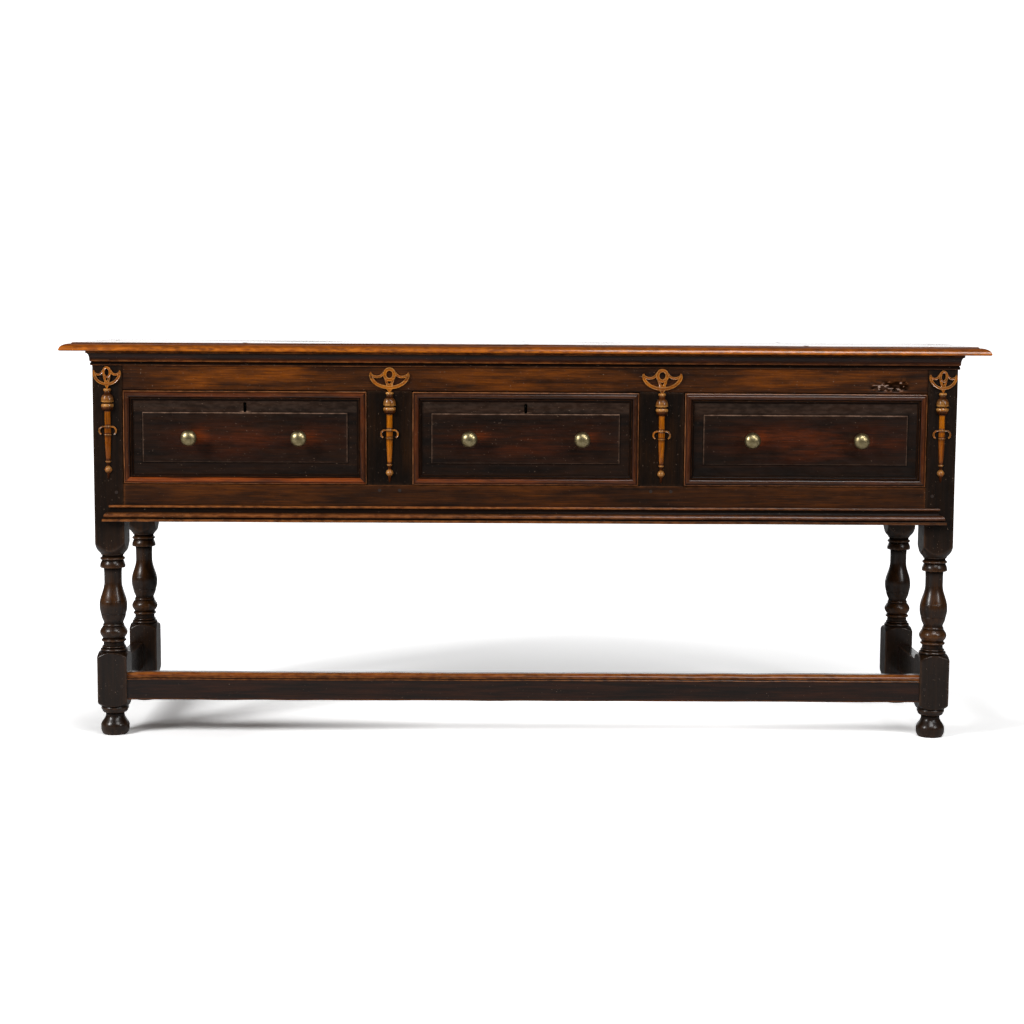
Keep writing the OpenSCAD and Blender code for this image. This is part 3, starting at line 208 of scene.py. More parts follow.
def sweep():
    """Floor and backdrop as one strip: flat, a quarter circle of radius bend, then straight up."""
    bend, wall_y, wall_top, half = 1.5, 5.5, 9.0, 14.0
    turn = np.linspace(0, np.pi / 2, 17)
    ys = np.concatenate([[-14.0], wall_y - bend + bend * np.sin(turn), [wall_y]])
    zs = np.concatenate([[0.0], bend - bend * np.cos(turn), [wall_top]])
    xs = np.linspace(-half, half, 3)
    points = [(x, y, z) for y, z in zip(ys, zs) for x in xs]
    faces = [(3 * i + j, 3 * i + j + 1, 3 * i + j + 4, 3 * i + j + 3)
             for i in range(len(ys) - 1) for j in range(2)]
    mesh = bpy.data.meshes.new("backdrop")
    mesh.from_pydata(points, [], faces)
    mesh.polygons.foreach_set("use_smooth", [True] * len(faces))
    return mesh


backdrop = bpy.data.objects.new("backdrop", sweep())
bpy.context.scene.collection.objects.link(backdrop)
backdrop.data.materials.append(studio_material("white studio paper"))


def soft_box(name, at, aim, width, height, watts):
    """A rectangular lamp at a place, turned to face an aim point."""
    lamp = bpy.data.lights.new(name, "AREA")
    lamp.shape = "RECTANGLE"
    lamp.size, lamp.size_y, lamp.energy = width, height, watts
    holder = bpy.data.objects.new(name, lamp)
    bpy.context.scene.collection.objects.link(holder)
    back = np.array(at, float) - np.array(aim, float)
    back /= np.linalg.norm(back)
    side = np.cross([0, 0, 1], back)
    side /= np.linalg.norm(side)
    turned = np.column_stack([side, np.cross(back, side), back])
    holder.matrix_world = Matrix.Translation(at) @ Matrix(turned.tolist()).to_4x4()


soft_box("key soft box", (-3.6, -2.7, 2.8), (-0.1, 0.0, 0.5), 1.2, 1.5, 134)
soft_box("fill soft box", (2.6, -2.5, 2.0), (0.1, 0.0, 0.5), 0.8, 1.1, 26)
soft_box("boom soft box", (1.05, -2.6, 3.2), (0.3, 0.0, 0.3), 1.7, 1.1, 26)
soft_box("gloss box in front", (1.1, -2.5, 3.25), (1.0, -0.2, 0.8), 1.6, 1.1, 24)
bpy.data.objects["gloss box in front"].visible_diffuse = False
ROOM_LIGHT, ROOM_GLOSS = 0.04, 0.06
world = bpy.data.worlds.new("dim room")
bpy.context.scene.world = world
world.use_nodes = True
room = world.node_tree
path = add(room, "ShaderNodeLightPath").outputs
dim = ramp(room, path["Is Glossy Ray"], 0.0, 1.0, ROOM_LIGHT, ROOM_GLOSS)
dim = maths(room, "ADD", dim, path["Is Camera Ray"])
room.nodes["Background"].inputs["Color"].default_value = (1.0, 1.0, 1.0, 1.0)
room.links.new(dim, room.nodes["Background"].inputs["Strength"])
bpy.context.scene.view_settings.view_transform = "Standard"


# %% [markdown]
# Old oak is never quite flat or straight. The boards, legs and mouldings are moved a little by a soft
# noise, worked out at all points at once: random numbers sit on a lattice, and a point takes a smooth
# mixture of the eight round it.
# %% Unevenness
LATTICE_KEYS = np.array([73856093, 19349663, 83492791])


def soft_noise(points, size, seed):
    """Value noise from -1 to 1: values at the corners of cells, mixed by 3 t^2 - 2 t^3 on each axis."""
    cell = np.asarray(points, float) / size
    base = np.floor(cell).astype(np.int64)
    t = cell - base
    t = t * t * (3 - 2 * t)
    total = np.zeros(cell.shape[:-1])
    for corner in np.ndindex(2, 2, 2):
        key = (base + corner) @ LATTICE_KEYS + seed * 2654435761
        key = (key ^ (key >> 13)) * 1274126177
        value = ((key >> 9) & 0xFFFF) / 32767.5 - 1
        total += value * np.prod(np.where(corner, t, 1 - t), axis=-1)
    return total


def ripple(points, amount, size, seed):
    """Moves points by three noises, one for each axis: what hand planes and three centuries leave."""
    shift = np.stack([soft_noise(points, size, seed + k) for k in range(3)], axis=-1)
    return points + amount * shift


print("noise at three places:", np.round(soft_noise(np.eye(3) * 55.0, 90.0, 1), 3))


# %% [markdown]
# A piece is made of closed shells. A shell is an array of points, an array of quads, the three tones of
# each point and the axis that its grain runs along. The tones are painted by the shape itself: worn on
# arrises that hands and cloths have rubbed, grime in hollows that they never reached, and glow where the
# stain has faded to a warm brown. In many places they paint light as well: worn also lays painted
# highlights, grime painted shade in hollows and under projections, and glow painted light on some faces.
# A slab is two grids of points and the strip round their border. A lathed shell is one grid that closes
# on itself.
# %% Shells
def grid_quads(index):
    """The quads of a grid of point numbers."""
    return np.stack([index[:-1, :-1], index[1:, :-1], index[1:, 1:], index[:-1, 1:]], axis=-1).reshape(-1, 4)


def slab(front, back, tones, along, loop=False):
    """A closed shell between two grids of one shape: both faces, and the strip that joins their borders."""
    rows, columns = front.shape[:2]
    index = np.arange(rows * columns).reshape(rows, columns)
    if loop:
        index = np.vstack([index, index[:1]])
        rings = [index[:, -1], index[::-1, 0]]
    else:
        rings = [np.concatenate([index[0], index[1:, -1], index[-1, -2::-1], index[-2::-1, 0]])]
    far = rows * columns
    faces = grid_quads(index)
    strips = [np.stack([ring[:-1], ring[1:], ring[1:] + far, ring[:-1] + far], axis=-1) for ring in rings]
    quads = np.concatenate([faces, faces[:, ::-1] + far] + strips)
    points = np.concatenate([front.reshape(-1, 3), back.reshape(-1, 3)])
    return points, quads, np.concatenate([tones.reshape(-1, 3)] * 2), along


def lathed(grid, tones, along):
    """A closed shell from a grid whose last column meets its first, with single points as end rows."""
    rows, columns = grid.shape[:2]
    index = np.arange(rows * columns).reshape(rows, columns)
    quads = grid_quads(np.hstack([index, index[:, :1]]))
    return grid.reshape(-1, 3), quads, tones.reshape(-1, 3), along


def together(x, y, z):
    """Three arrays of coordinates, spread to one shape and stacked into points."""
    return np.stack(np.broadcast_arrays(x, y, z), axis=-1)


def toned(place, table):
    """Tones at a place along an outline, read between the rows [place, worn, grime, glow] of a table."""
    places, *levels = table.T
    return np.stack([np.interp(place, places, level) for level in levels], axis=-1)


print("quads in a grid of 3 by 3 points:", len(grid_quads(np.arange(9).reshape(3, 3))))


# %% [markdown]
# Neighbouring faces are first made apart, so their shared points are welded here by rounding them to a fine
# lattice. A quad with a doubled corner becomes a triangle. A shell's signed volume tells whether its faces
# look outward.
# %% Welding and making a piece
WELD, LATTICE_SHIFT = 0.002, 0.123
GRAIN_SPREAD = 5000
EDGE_ANGLE = math.radians(35)
GRAIN_ORDER = [[0, 1, 2], [1, 0, 2], [2, 0, 1]]


def weld(points, quads, tones):
    """Joins points that share a cell of size WELD. Quads and triangles are turned to face outward."""
    keys = np.round(points / WELD + LATTICE_SHIFT).astype(np.int64)
    _, first, where = np.unique(keys, axis=0, return_index=True, return_inverse=True)
    quads = where.reshape(-1)[quads]
    doubled = quads == np.roll(quads, -1, axis=1)
    count = doubled.sum(axis=1)
    pinched = (quads[:, 0] == quads[:, 2]) | (quads[:, 1] == quads[:, 3])
    fours = quads[(count == 0) & ~pinched]
    threes = quads[count == 1][~doubled[count == 1]].reshape(-1, 3)
    used = np.unique(np.concatenate([fours.ravel(), threes.ravel()]))
    number = np.zeros(len(first), int)
    number[used] = np.arange(len(used))
    points, tones, fours, threes = points[first][used], tones[first][used], number[fours], number[threes]
    corners = np.concatenate([fours[:, [0, 1, 2]], fours[:, [0, 2, 3]], threes])
    a, b, c = (points[corners[:, k]] for k in range(3))
    if np.sum(np.cross(a, b) * c) < 0:
        fours, threes = fours[:, ::-1], threes[:, ::-1]
    return points, fours, threes, tones


def piece(name, shells, slot, body, *replaced):
    """Makes one object of closed shells, hangs it on its body, and hides the CAD nodes that it stands for.
    """
    rng = np.random.default_rng(sum(map(ord, name)))
    points, faces, tones, grain = [], [], [], []
    for shell in shells:
        start = sum(map(len, points))
        spots, fours, threes, tone = weld(*shell[:3])
        faces += (fours + start).tolist() + (threes + start).tolist()
        points.append(spots)
        tones.append(tone)
        grain.append(spots[:, GRAIN_ORDER[shell[3]]] + rng.uniform(-GRAIN_SPREAD, GRAIN_SPREAD, 3))
    mesh = bpy.data.meshes.new(name)
    mesh.from_pydata((np.concatenate(points) * MM).tolist(), [], faces)
    for key, values in (("tones", np.concatenate(tones)), ("grain", np.concatenate(grain) * MM)):
        mesh.attributes.new(key, "FLOAT_VECTOR", "POINT").data.foreach_set("vector", values.ravel())
    mesh.polygons.foreach_set("use_smooth", [True] * len(faces))
    mesh.set_sharp_from_angle(angle=EDGE_ANGLE)
    mesh.materials.append(finishes[slot])
    made = bpy.data.objects.new(name, mesh)
    bpy.context.scene.collection.objects.link(made)
    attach(made, body)
    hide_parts(*replaced)
    return made


# %% [markdown]
# A board is a block of small cells. Cells are left out where a mortise, a groove or a rebate is cut, and
# the skin is every wall between a full cell and an empty one. The outer arrises are then rounded, more in
# some places than in others, as wear does it.
# %% Boards
LINE_GAP, WORN_REACH, EASE_NOISE, BOARD_NOISE = 0.3, 2.2, 35.0, 90.0


def ruled(lo, hi, ease, cell, cuts):
    """Lattice lines across a board: close at its arrises, one at each cut, and at most a cell apart."""
    near = [d for d in (0.0, 0.59 * ease, ease, 2.5, 6.0) if d < 0.5 * (hi - lo) - LINE_GAP]
    marks = [m for d in near for m in (lo + d, hi - d) if all(abs(m - c) > LINE_GAP for c in cuts)]
    marks = sorted({lo, hi, *marks, *(c for c in cuts if lo < c < hi)})
    steps = [np.linspace(a, b, math.ceil((b - a) / cell) + 1)[1:] for a, b in zip(marks, marks[1:])]
    return np.concatenate([marks[:1]] + steps)


def carve(lines, solid):
    """The skin of a block of cells: a wall stands where fullness changes between two neighbours."""
    sizes = [len(line) for line in lines]
    index = np.arange(np.prod(sizes)).reshape(sizes)
    full = np.pad(solid, 1).astype(int)
    walls = []
    for axis in range(3):
        change = np.diff(np.moveaxis(full, axis, 0)[:, 1:-1, 1:-1], axis=0)
        number = np.moveaxis(index, axis, 0)
        i, j, k = np.nonzero(change)
        quads = np.stack([number[i, j + p, k + q] for p, q in ((0, 0), (1, 0), (1, 1), (0, 1))], axis=1)
        turned = (change[i, j, k] > 0) ^ (axis == 1)
        quads[turned] = quads[turned][:, ::-1]
        walls.append(quads)
    used, quads = np.unique(np.concatenate(walls), return_inverse=True)
    points = np.stack(np.meshgrid(*lines, indexing="ij"), axis=-1).reshape(-1, 3)[used]
    return points, quads.reshape(-1, 4)


def eased(points, lo, hi, ease):
    """Rounds a box's arrises: q = c + d max|d| / |d|, c the inner box's nearest point, d = p - c."""
    ease = np.broadcast_to(ease, len(points))[:, None]
    core = np.clip(points, lo + ease, hi - ease)
    out = points - core
    length = np.maximum(np.linalg.norm(out, axis=1, keepdims=True), 1e-9)
    return core + out * np.abs(out).max(axis=1, keepdims=True) / length


def board(lo, hi, along, seed, ease=1.0, cell=30.0, holes=(), cuts=((), (), ()), wave=0.25):
    """A plank between two corners, less its holes, with worn arrises and a hand-planed surface."""
    lo, hi = np.array(lo, float), np.array(hi, float)
    ends = [{corner[k] for hole in holes for corner in hole} | set(cuts[k]) for k in range(3)]
    lines = [ruled(lo[k], hi[k], ease, cell, sorted(ends[k])) for k in range(3)]
    middle = np.stack(np.meshgrid(*[(line[1:] + line[:-1]) / 2 for line in lines], indexing="ij"), axis=-1)
    solid = np.ones(middle.shape[:3], bool)
    for hole_lo, hole_hi in holes:
        solid &= ~np.all((middle > hole_lo) & (middle < hole_hi), axis=-1)
    points, quads = carve(lines, solid)
    reach = np.sort(np.minimum(points - lo, hi - points), axis=1)[:, 1]
    tones = np.zeros((len(points), 3))
    tones[:, 0] = np.exp(-reach / WORN_REACH)
    points = eased(points, lo, hi, ease * (0.7 + 0.3 * soft_noise(points, EASE_NOISE, seed)))
    return ripple(points, wave, BOARD_NOISE, seed), quads, tones, along


print("lines across a board 80 mm wide:", len(ruled(0.0, 80.0, 1.0, 30.0, [])))


# %% [markdown]
# Oak that has been stained, waxed and rubbed for three centuries: close to black where dirt and polish have
# built up and where shade is painted, red-brown where the stain shows, orange where an edge has been worn to
# bare wood. The pattern follows each board by its own grain attribute. The broad figure is about 12 mm
# across and 190 mm long, the patches where stain has faded are 24 mm across, and streaks are 2 mm wide. The
# open pores of a ring-porous wood are dashes under 1 mm, drawn a little coarser so that they show. Knocks
# break up the worn edges, and a few chips are pale. Dirt and painted shade dull both the wax and the wood's
# own sheen. Where the worn tone goes past 1, a splinter is quite bare, and the same pale colour paints
# highlights on some arrises.
# %% Oak
PORE, DIRT_AND_SHADE, CHIP, SPLINTER = "#120b08", "#0d0805", "#a58b76", "#c4b6ac"
PATTERNS = {"figure": (190, 12, 5.0, 0.38, 0.62, 0.0), "streaks": (70, 1.8, 3.0, 0.35, 0.65, 0.35),
            "patches": (150, 24, 3.0, 0.40, 0.60, 0.2), "knocks": (18, 7, 3.0, 0.38, 0.62, 0.3),
            "pores": (14, 0.9, 2.0, 0.58, 0.70, 0.0), "chips": (4, 2.2, 1.0, 0.74, 0.79, 0.0)}
SHEEN, DIRT_AND_SHADE_ROUGH = 0.3, 0.25


def three_tones(tree):
    """The outputs worn, grime and glow of the tones attribute."""
    tones = add(tree, "ShaderNodeAttribute", attribute_name="tones").outputs["Vector"]
    return add(tree, "ShaderNodeSeparateXYZ", {0: tones}).outputs


def oak(name, deep, wood, bright, worn, rough, coat, gloss=0.18, wear=1.0):
    """A waxed oak: six patterns along the grain and the three tones, laid over one another as colours."""
    material, tree = empty_material(name)
    grain = add(tree, "ShaderNodeAttribute", attribute_name="grain").outputs["Vector"]
    tones = three_tones(tree)

    def pattern(length, width, detail, lo, hi, least):
        """Noise stretched along the grain, in millimetres: least where it is under lo, and 1 over hi."""
        scale = (1000 / length, 1000 / width, 1000 / width)
        place = add(tree, "ShaderNodeMapping", {"Vector": grain, "Scale": scale}).outputs[0]
        noise = add(tree, "ShaderNodeTexNoise", {"Vector": place, "Scale": 1.0, "Detail": detail,
                                                 "Roughness": 0.6})
        return ramp(tree, noise.outputs[0], lo, hi, least, 1.0)

    figure, streaks, patches, knocks, pores, chips = [pattern(*sizes) for sizes in PATTERNS.values()]
    bare = maths(tree, "SUBTRACT", tones[0], 1.0, clamp=True)
    colour = layered(tree, deep, [
        (wood, [figure, streaks]),
        (bright, [tones[2], patches, streaks]),
        (worn, [tones[0], knocks, wear]),
        (PORE, [pores, 0.5]),
        # The grime tone lays dirt and painted shade, and the worn tone also lays painted highlights.
        (DIRT_AND_SHADE, [tones[1], 0.9]),
        (CHIP, [chips, 0.6]),
        (SPLINTER, [bare, knocks])])
    polish = ramp(tree, knocks, 0.0, 1.0, rough - 0.06, rough + 0.08)
    polish = maths(tree, "MULTIPLY_ADD", tones[1], DIRT_AND_SHADE_ROUGH, polish)
    waxed = ramp(tree, tones[1], 0.0, 1.0, coat, 0.0)
    sheen = ramp(tree, tones[1], 0.0, 1.0, SHEEN, 0.0)
    height = maths(tree, "MULTIPLY_ADD", pores, -0.4, streaks)
    bump = add(tree, "ShaderNodeBump", {"Height": height, "Strength": 0.25, "Distance": 0.0004}).outputs[0]
    shader = add(tree, "ShaderNodeBsdfPrincipled", {
        "Base Color": colour, "Roughness": polish, "IOR": 1.45, "Normal": bump, "Specular IOR Level": sheen,
        "Coat Weight": waxed, "Coat Roughness": gloss})
    add(tree, "ShaderNodeOutputMaterial", {"Surface": shader.outputs[0]})
    return material


finishes = {
    "oak_top": oak("oak, waxed and faded", "#2a1006", "#6a2f08", "#a04802", "#d87402", 0.40, 0.9, 0.12),
    "oak_rail": oak("oak, stained red-brown", "#160902", "#4c2708", "#964c02", "#96541c", 0.38, 0.1,
                    wear=0.6),
    "oak_dark": oak("oak, nearly black", "#100803", "#26160a", "#6e3e0a", "#68452a", 0.32, 0.45, wear=0.7),
    # The drawer fronts' worn colour is pale pink, mostly for the painted highlight on the field's arris.
    "oak_front": oak("oak drawer front, dark with polish", "#120904", "#2e190b", "#8c3a06", "#c49a80", 0.36,
                     0.15),
    "oak_moulding": oak("oak moulding, worn on its ridges", "#160a04", "#3e1d0a", "#b4500a", "#b86c2c", 0.32,
                        0.5),
    "oak_inside": oak("oak, dry and unpolished", "#5d4128", "#8d6a45", "#9b7750", "#a88660", 0.72, 0.0),
}
print("oak finishes:", sorted(finishes))


# %% [markdown]
# Three finishes read Object coordinates, because the pieces that wear them are small or are CAD meshes. Old
# brass is yellow metal under a brown tarnish that fingers keep bright on the crown. Iron from the forge is
# rough and nearly black. The pegs show end grain, darker than the boards round them. The mounts are of a
# pale wood under varnish, and are painted in the same way as the oak.
# %% Brass, iron and pegs
TARNISH = "#1a1208"


def speckled(name, dark, light, size, rough, metallic, dirt):
    """Two colours mixed by a noise of that size in millimetres, and darkened where grime lies."""
    material, tree = empty_material(name)
    place = add(tree, "ShaderNodeTexCoord").outputs["Object"]
    tones = three_tones(tree)
    noise = add(tree, "ShaderNodeTexNoise", {"Vector": place, "Scale": 1000 / size, "Detail": 4.0})
    noise = noise.outputs[0]
    share = ramp(tree, noise, 0.38, 0.62, 0.0, 1.0)
    colour = layered(tree, dark, [(light, [share]), (light, [tones[0], 0.5]), (TARNISH, [tones[1], dirt])])
    polish = ramp(tree, share, 0.0, 1.0, rough + 0.12, rough)
    bump = add(tree, "ShaderNodeBump", {"Height": noise, "Strength": 0.2, "Distance": 0.0003}).outputs[0]
    shader = add(tree, "ShaderNodeBsdfPrincipled", {"Base Color": colour, "Metallic": metallic,
                                                    "Roughness": polish, "Normal": bump})
    add(tree, "ShaderNodeOutputMaterial", {"Surface": shader.outputs[0]})
    return material


finishes["brass"] = speckled("old brass, cast and turned", "#786a40", "#b8a880", 6.0, 0.32, 1.0, 0.8)
finishes["iron"] = speckled("forged iron", "#2b2927", "#4a4744", 3.0, 0.55, 0.85, 0.0)
finishes["oak_pegs"] = speckled("oak end grain", "#1a110c", "#3a2416", 1.2, 0.50, 0.0, 0.0)
finishes["mount_wood"] = oak("pale wood, stained and varnished", "#4a1c02", "#a04c04", "#de7e04", "#e8a858",
                             0.26, 0.7, 0.12)
print("finishes:", sorted(finishes))


# %% [markdown]
# Turned and moulded work is drawn as stretches of outline between two levels. One function gives them all:
# a straight run that may bow, a swell that leaves and arrives upright, or a quarter that leaves level and
# ends upright. The same outline tells where it is worn: `relief` compares it with a copy of itself that is
# blurred over a few millimetres.
# %% Outlines
def stretch(z0, r0, z1, r1, bow=0.0, way="straight", steps=8):
    """Outline points [z, r] between two levels, standing out by bow sin(pi t) in the middle."""
    t = np.linspace(0, 1, steps + 1)
    level = 1 - np.cos(np.pi / 2 * t) if way == "quarter" else t
    share = {"straight": t, "swell": (1 - np.cos(np.pi * t)) / 2, "quarter": np.sin(np.pi / 2 * t)}[way]
    return np.column_stack([z0 + (z1 - z0) * level, r0 + (r1 - r0) * share + bow * np.sin(np.pi * t)])


def relief(across, along, blur):
    """How far each point of an outline stands out of its blurred copy, in millimetres, along its normal."""
    line = np.column_stack([across, along])
    pace = np.maximum(np.linalg.norm(np.gradient(line, axis=0), axis=1), 1e-6)
    s = np.cumsum(pace)
    weight = np.exp(-((s[:, None] - s) / blur) ** 2 / 2) * pace
    smooth = weight @ line / weight.sum(axis=1, keepdims=True)
    run = np.gradient(line, axis=0) / pace[:, None]
    return np.sum((line - smooth) * np.column_stack([run[:, 1], -run[:, 0]]), axis=1)


def wear_highlight_dirt_and_shade(height, scale):
    """Tones from a relief: standing out by scale is fully worn with a painted highlight, lying as deep is
    full of dirt and painted shade.
    """
    share = height / scale
    return np.stack([np.clip(share, 0, 1), np.clip(-share, 0, 1), np.zeros_like(share)], axis=-1)


print("a swell from 0 to 10 mm:", np.round(stretch(0, 0, 10, 10, way="swell", steps=4)[:, 1], 2))


# %% [markdown]
# The legs are one piece from floor to top: a square stile, a turned baluster and foot, and a square block
# between. A turner leaves a square where the gouge stops, so the radius round the axis is the smaller of
# the lathe's outline and of a square with soft corners. Where the two cross, the shoulders get their curved
# cut by themselves. A fine line is scribed round the swell.
# %% Legs
STILE_FOOT, CORNER_POWER, LEG_BLUR, LEG_DEEP, STILE_GRIME = 430, 30, 3.5, 1.5, 0.4
SCRIBED_LINE = [[285.4, 28.0], [286.0, 27.4], [286.6, 27.9]]
TURNING = np.concatenate([
    [[0, 0], [0, 24.5], [0.5, 26.0], [1.6, 26.6]],
    stretch(2, 26.7, 13, 29.8, 0.8), stretch(18, 29.8, 42, 19.4, way="swell", steps=16),
    stretch(46, 19.4, 52, 27.0, way="quarter"), stretch(52, 27.0, 61, 27.0, 2.0, steps=12),
    stretch(61, 29.3, 73, 44.3, 1.0), stretch(166, 44.3, 178, 29.3, 1.0),
    stretch(178, 26.8, 184, 26.8, 1.5, steps=10), stretch(185.5, 22.5, 190, 22.5, 2.5),
    stretch(190, 22.0, 198.5, 21.5, way="swell"), stretch(198.5, 23.5, 204.5, 23.5, 2.5, steps=10),
    stretch(206, 22.5, 231, 22.5, 6.2, steps=20), stretch(231.5, 21.5, 236, 21.5, 1.0), [[237.5, 20.3]],
    stretch(240.5, 20.5, 257.2, 26.2, 0.9), [[258, 25.9]], stretch(258.8, 26.6, 273.5, 28.9, 0.5),
    stretch(276.5, 28.9, 326, 18.3, way="swell", steps=24), SCRIBED_LINE, [[344, 18.3], [355.5, 18.9]],
    [[356, 24.7]],
    stretch(357, 26.2, 371.5, 22.3, 1.3), stretch(372.5, 23.4, 378.5, 23.4, 2.6, steps=10),
    [[379.5, 22.0], [383.6, 22.0], [384, 24.3]], stretch(386, 24.5, 412, 44.3, 1.2, steps=14),
    stretch(STILE_FOOT, 45, FRAME_TOP - 0.5, 45, steps=20), [[FRAME_TOP, 30], [FRAME_TOP, 0]]])
BLOCK_LEVELS = stretch(85, 45, 154, 45, steps=6)
LEG_WAVE, LEG_NOISE, LEG_MOTTLE, ARRIS_WORN, SHOULDER_WORN = 0.3, 60.0, 70.0, 2.5, 0.8
LEG_GLOW = ([0, 60, 190, 206, 218, 231, 270, 290, 310, 340, 360, 378, 420, 560, FRAME_TOP],
            [0.2, 0.1, 0.1, 0.7, 1.0, 0.5, 0.2, 0.9, 0.7, 0.2, 0.4, 0.5, 0.1, 0.12, 0.12])
LEG_SIDES = 112


def turned_leg(x, y, seed):
    """r(z, angle) = min(outline(z), half / (|cos|^30 + |sin|^30)^(1/30)), denser near corners."""
    outline = np.concatenate([TURNING, BLOCK_LEVELS])
    z, r = outline[np.lexsort((np.arange(len(outline)), outline[:, 0]))].T
    t = np.arange(LEG_SIDES) * 2 * np.pi / LEG_SIDES
    angle = t + 0.15 * np.sin(4 * t)
    half = LEG_W / 2
    square = np.abs(np.cos(angle)) ** CORNER_POWER + np.abs(np.sin(angle)) ** CORNER_POWER
    square = half / square ** (1 / CORNER_POWER)
    lathe = np.broadcast_to(r[:, None], (len(z), LEG_SIDES))
    radius = np.minimum(lathe, square)
    grid = together(x + radius * np.cos(angle), y + radius * np.sin(angle), z[:, None])
    # Relief tones: wear with painted highlights where the turning stands out, dirt with painted shade in its
    # hollows.
    tones = wear_highlight_dirt_and_shade(relief(np.minimum(r, 44), z, LEG_BLUR), LEG_DEEP)
    tones = np.repeat(tones[:, None], LEG_SIDES, axis=1)
    corner = half - np.abs(grid[..., :2] - [x, y]).min(axis=-1)
    flat = lathe > square
    tones[..., 0] = np.where(flat, np.exp(-corner / ARRIS_WORN), tones[..., 0])
    tones[..., 0] = np.maximum(tones[..., 0], 0.7 * np.exp(-np.abs(lathe - square) / SHOULDER_WORN))
    tones[..., 1] = np.where(flat, STILE_GRIME * (z[:, None] > STILE_FOOT), tones[..., 1])
    tones[..., 2] = np.interp(z, *LEG_GLOW)[:, None] * (0.7 + 0.5 * soft_noise(grid, LEG_MOTTLE, seed + 5))
    moved = ripple(grid, LEG_WAVE, LEG_NOISE, seed)
    moved[..., 2] = grid[..., 2]
    return lathed(moved, tones, 2)


AXIS = HALF - LEG_W / 2
LEG_PLACES = {"front_leg_left": (-AXIS, FRONT + LEG_W / 2), "front_leg_right": (AXIS, FRONT + LEG_W / 2),
              "rear_leg_left": (-AXIS, BACK - LEG_W / 2), "rear_leg_right": (AXIS, BACK - LEG_W / 2)}
for number, (node, (x, y)) in enumerate(LEG_PLACES.items()):
    shells = [turned_leg(x, y, 10 + number)]
    leg = piece(node.replace("leg", "turned_leg"), shells, "oak_dark", "carcass", node)
    print(leg.name, len(leg.data.polygons), "faces")


# %% [markdown]
# The frame is joined: rails and muntins lie between the legs, flush with them, and the panels sit in
# grooves. Their tenons are inside the legs and never seen, so each board is drawn from shoulder to
# shoulder. The front rails have faded most in the middle of each bay, and stayed dark beside the mounts,
# where rags and hands pass less. Dirt lies on the muntins. Near its right end the top rail has been gouged:
# dirt has filled the cut, and its splinters are pale.
# %% Rails, muntins and panels
OPENING_LOW, RAIL_LOW = high("front_bottom_rail")[2], low("front_top_rail")[2]
SIDES = ("left", "middle", "right")
BAYS = {side: (low(side + "_drawer_front") + high(side + "_drawer_front"))[0] / 2 for side in SIDES}
BAY_HALF = 190.0
BAY_GLOW = {"left": 1.0, "middle": 0.75, "right": 0.8}


def bay_glow(points):
    """0.12 + 0.88 times the largest over the bays of level exp(-|(x - middle) / half|^3)."""
    bumps = [BAY_GLOW[side] * np.exp(-np.abs((points[:, 0] - x) / BAY_HALF) ** 3)
             for side, x in BAYS.items()]
    return 0.12 + 0.88 * np.max(bumps, axis=0)


LENGTHWISE = (0, LEG_IN, -LEG_IN)
SIDEWISE = (1, FRONT + LEG_W, BACK - LEG_W)
UPRIGHT = (2, OPENING_LOW, RAIL_LOW)
SHOULDERS = {"top_rail": LENGTHWISE, "bottom_rail": LENGTHWISE, "muntin": UPRIGHT, "stretcher": SIDEWISE}
BOARD_GRIME = {"front_top_rail": 0.0, "front_bottom_rail": 0.17}
MUNTIN_GRIME, MUNTIN_GLOW, MUNTIN_MOTTLE = 0.6, 0.15, 0.35
SCAR_X, SCAR_Z, SCAR_DEEP = (712.0, 804.0), (733.0, 760.0), 2.4
SCAR_SLOPE_X, SCAR_SLOPE_Z, SCAR_STRETCH = 14, 6, [0.5, 0, 1]
BOLTS = ["left_lock_bolt", "middle_lock_bolt"]
BOLT_GAP, BOLT_TRAVEL = 1.0, frame["joints"][-1]["range_m"][1] / MM


def bolt_mortises():
    """The two mortises that the lock bolts rise into, BOLT_GAP larger than the bolt all round."""
    corners = [(low(bolt) - BOLT_GAP, high(bolt) + BOLT_GAP) for bolt in BOLTS]
    return [(lo, np.array([*hi[:2], RAIL_LOW + BOLT_TRAVEL + BOLT_GAP])) for lo, hi in corners]


def scarred(shell, front_y):
    """A gouged patch: depth times a slope inward from its border times a fine noise."""
    points, quads, tones, along = shell
    inward = [np.minimum(points[:, k] - span[0], span[1] - points[:, k])
              for k, span in ((0, SCAR_X), (2, SCAR_Z))]
    inside = np.clip(inward[0] / SCAR_SLOPE_X, 0, 1) * np.clip(inward[1] / SCAR_SLOPE_Z, 0, 1)
    inside = inside * (np.abs(points[:, 1] - front_y) < 1)
    rough = soft_noise(points * SCAR_STRETCH, 4.0, 61)
    cut = inside * np.clip(0.7 + rough, 0, 1)
    points[:, 1] += SCAR_DEEP * cut
    splinters = 1.9 * inside * (soft_noise(points * SCAR_STRETCH, 3.2, 62) > 0.3)
    tones[:, 0] = np.maximum(tones[:, 0], splinters)
    tones[:, 1] = np.maximum(tones[:, 1], np.clip(1.5 * cut, 0, 1) * (tones[:, 0] < 1))
    return points, quads, tones, along


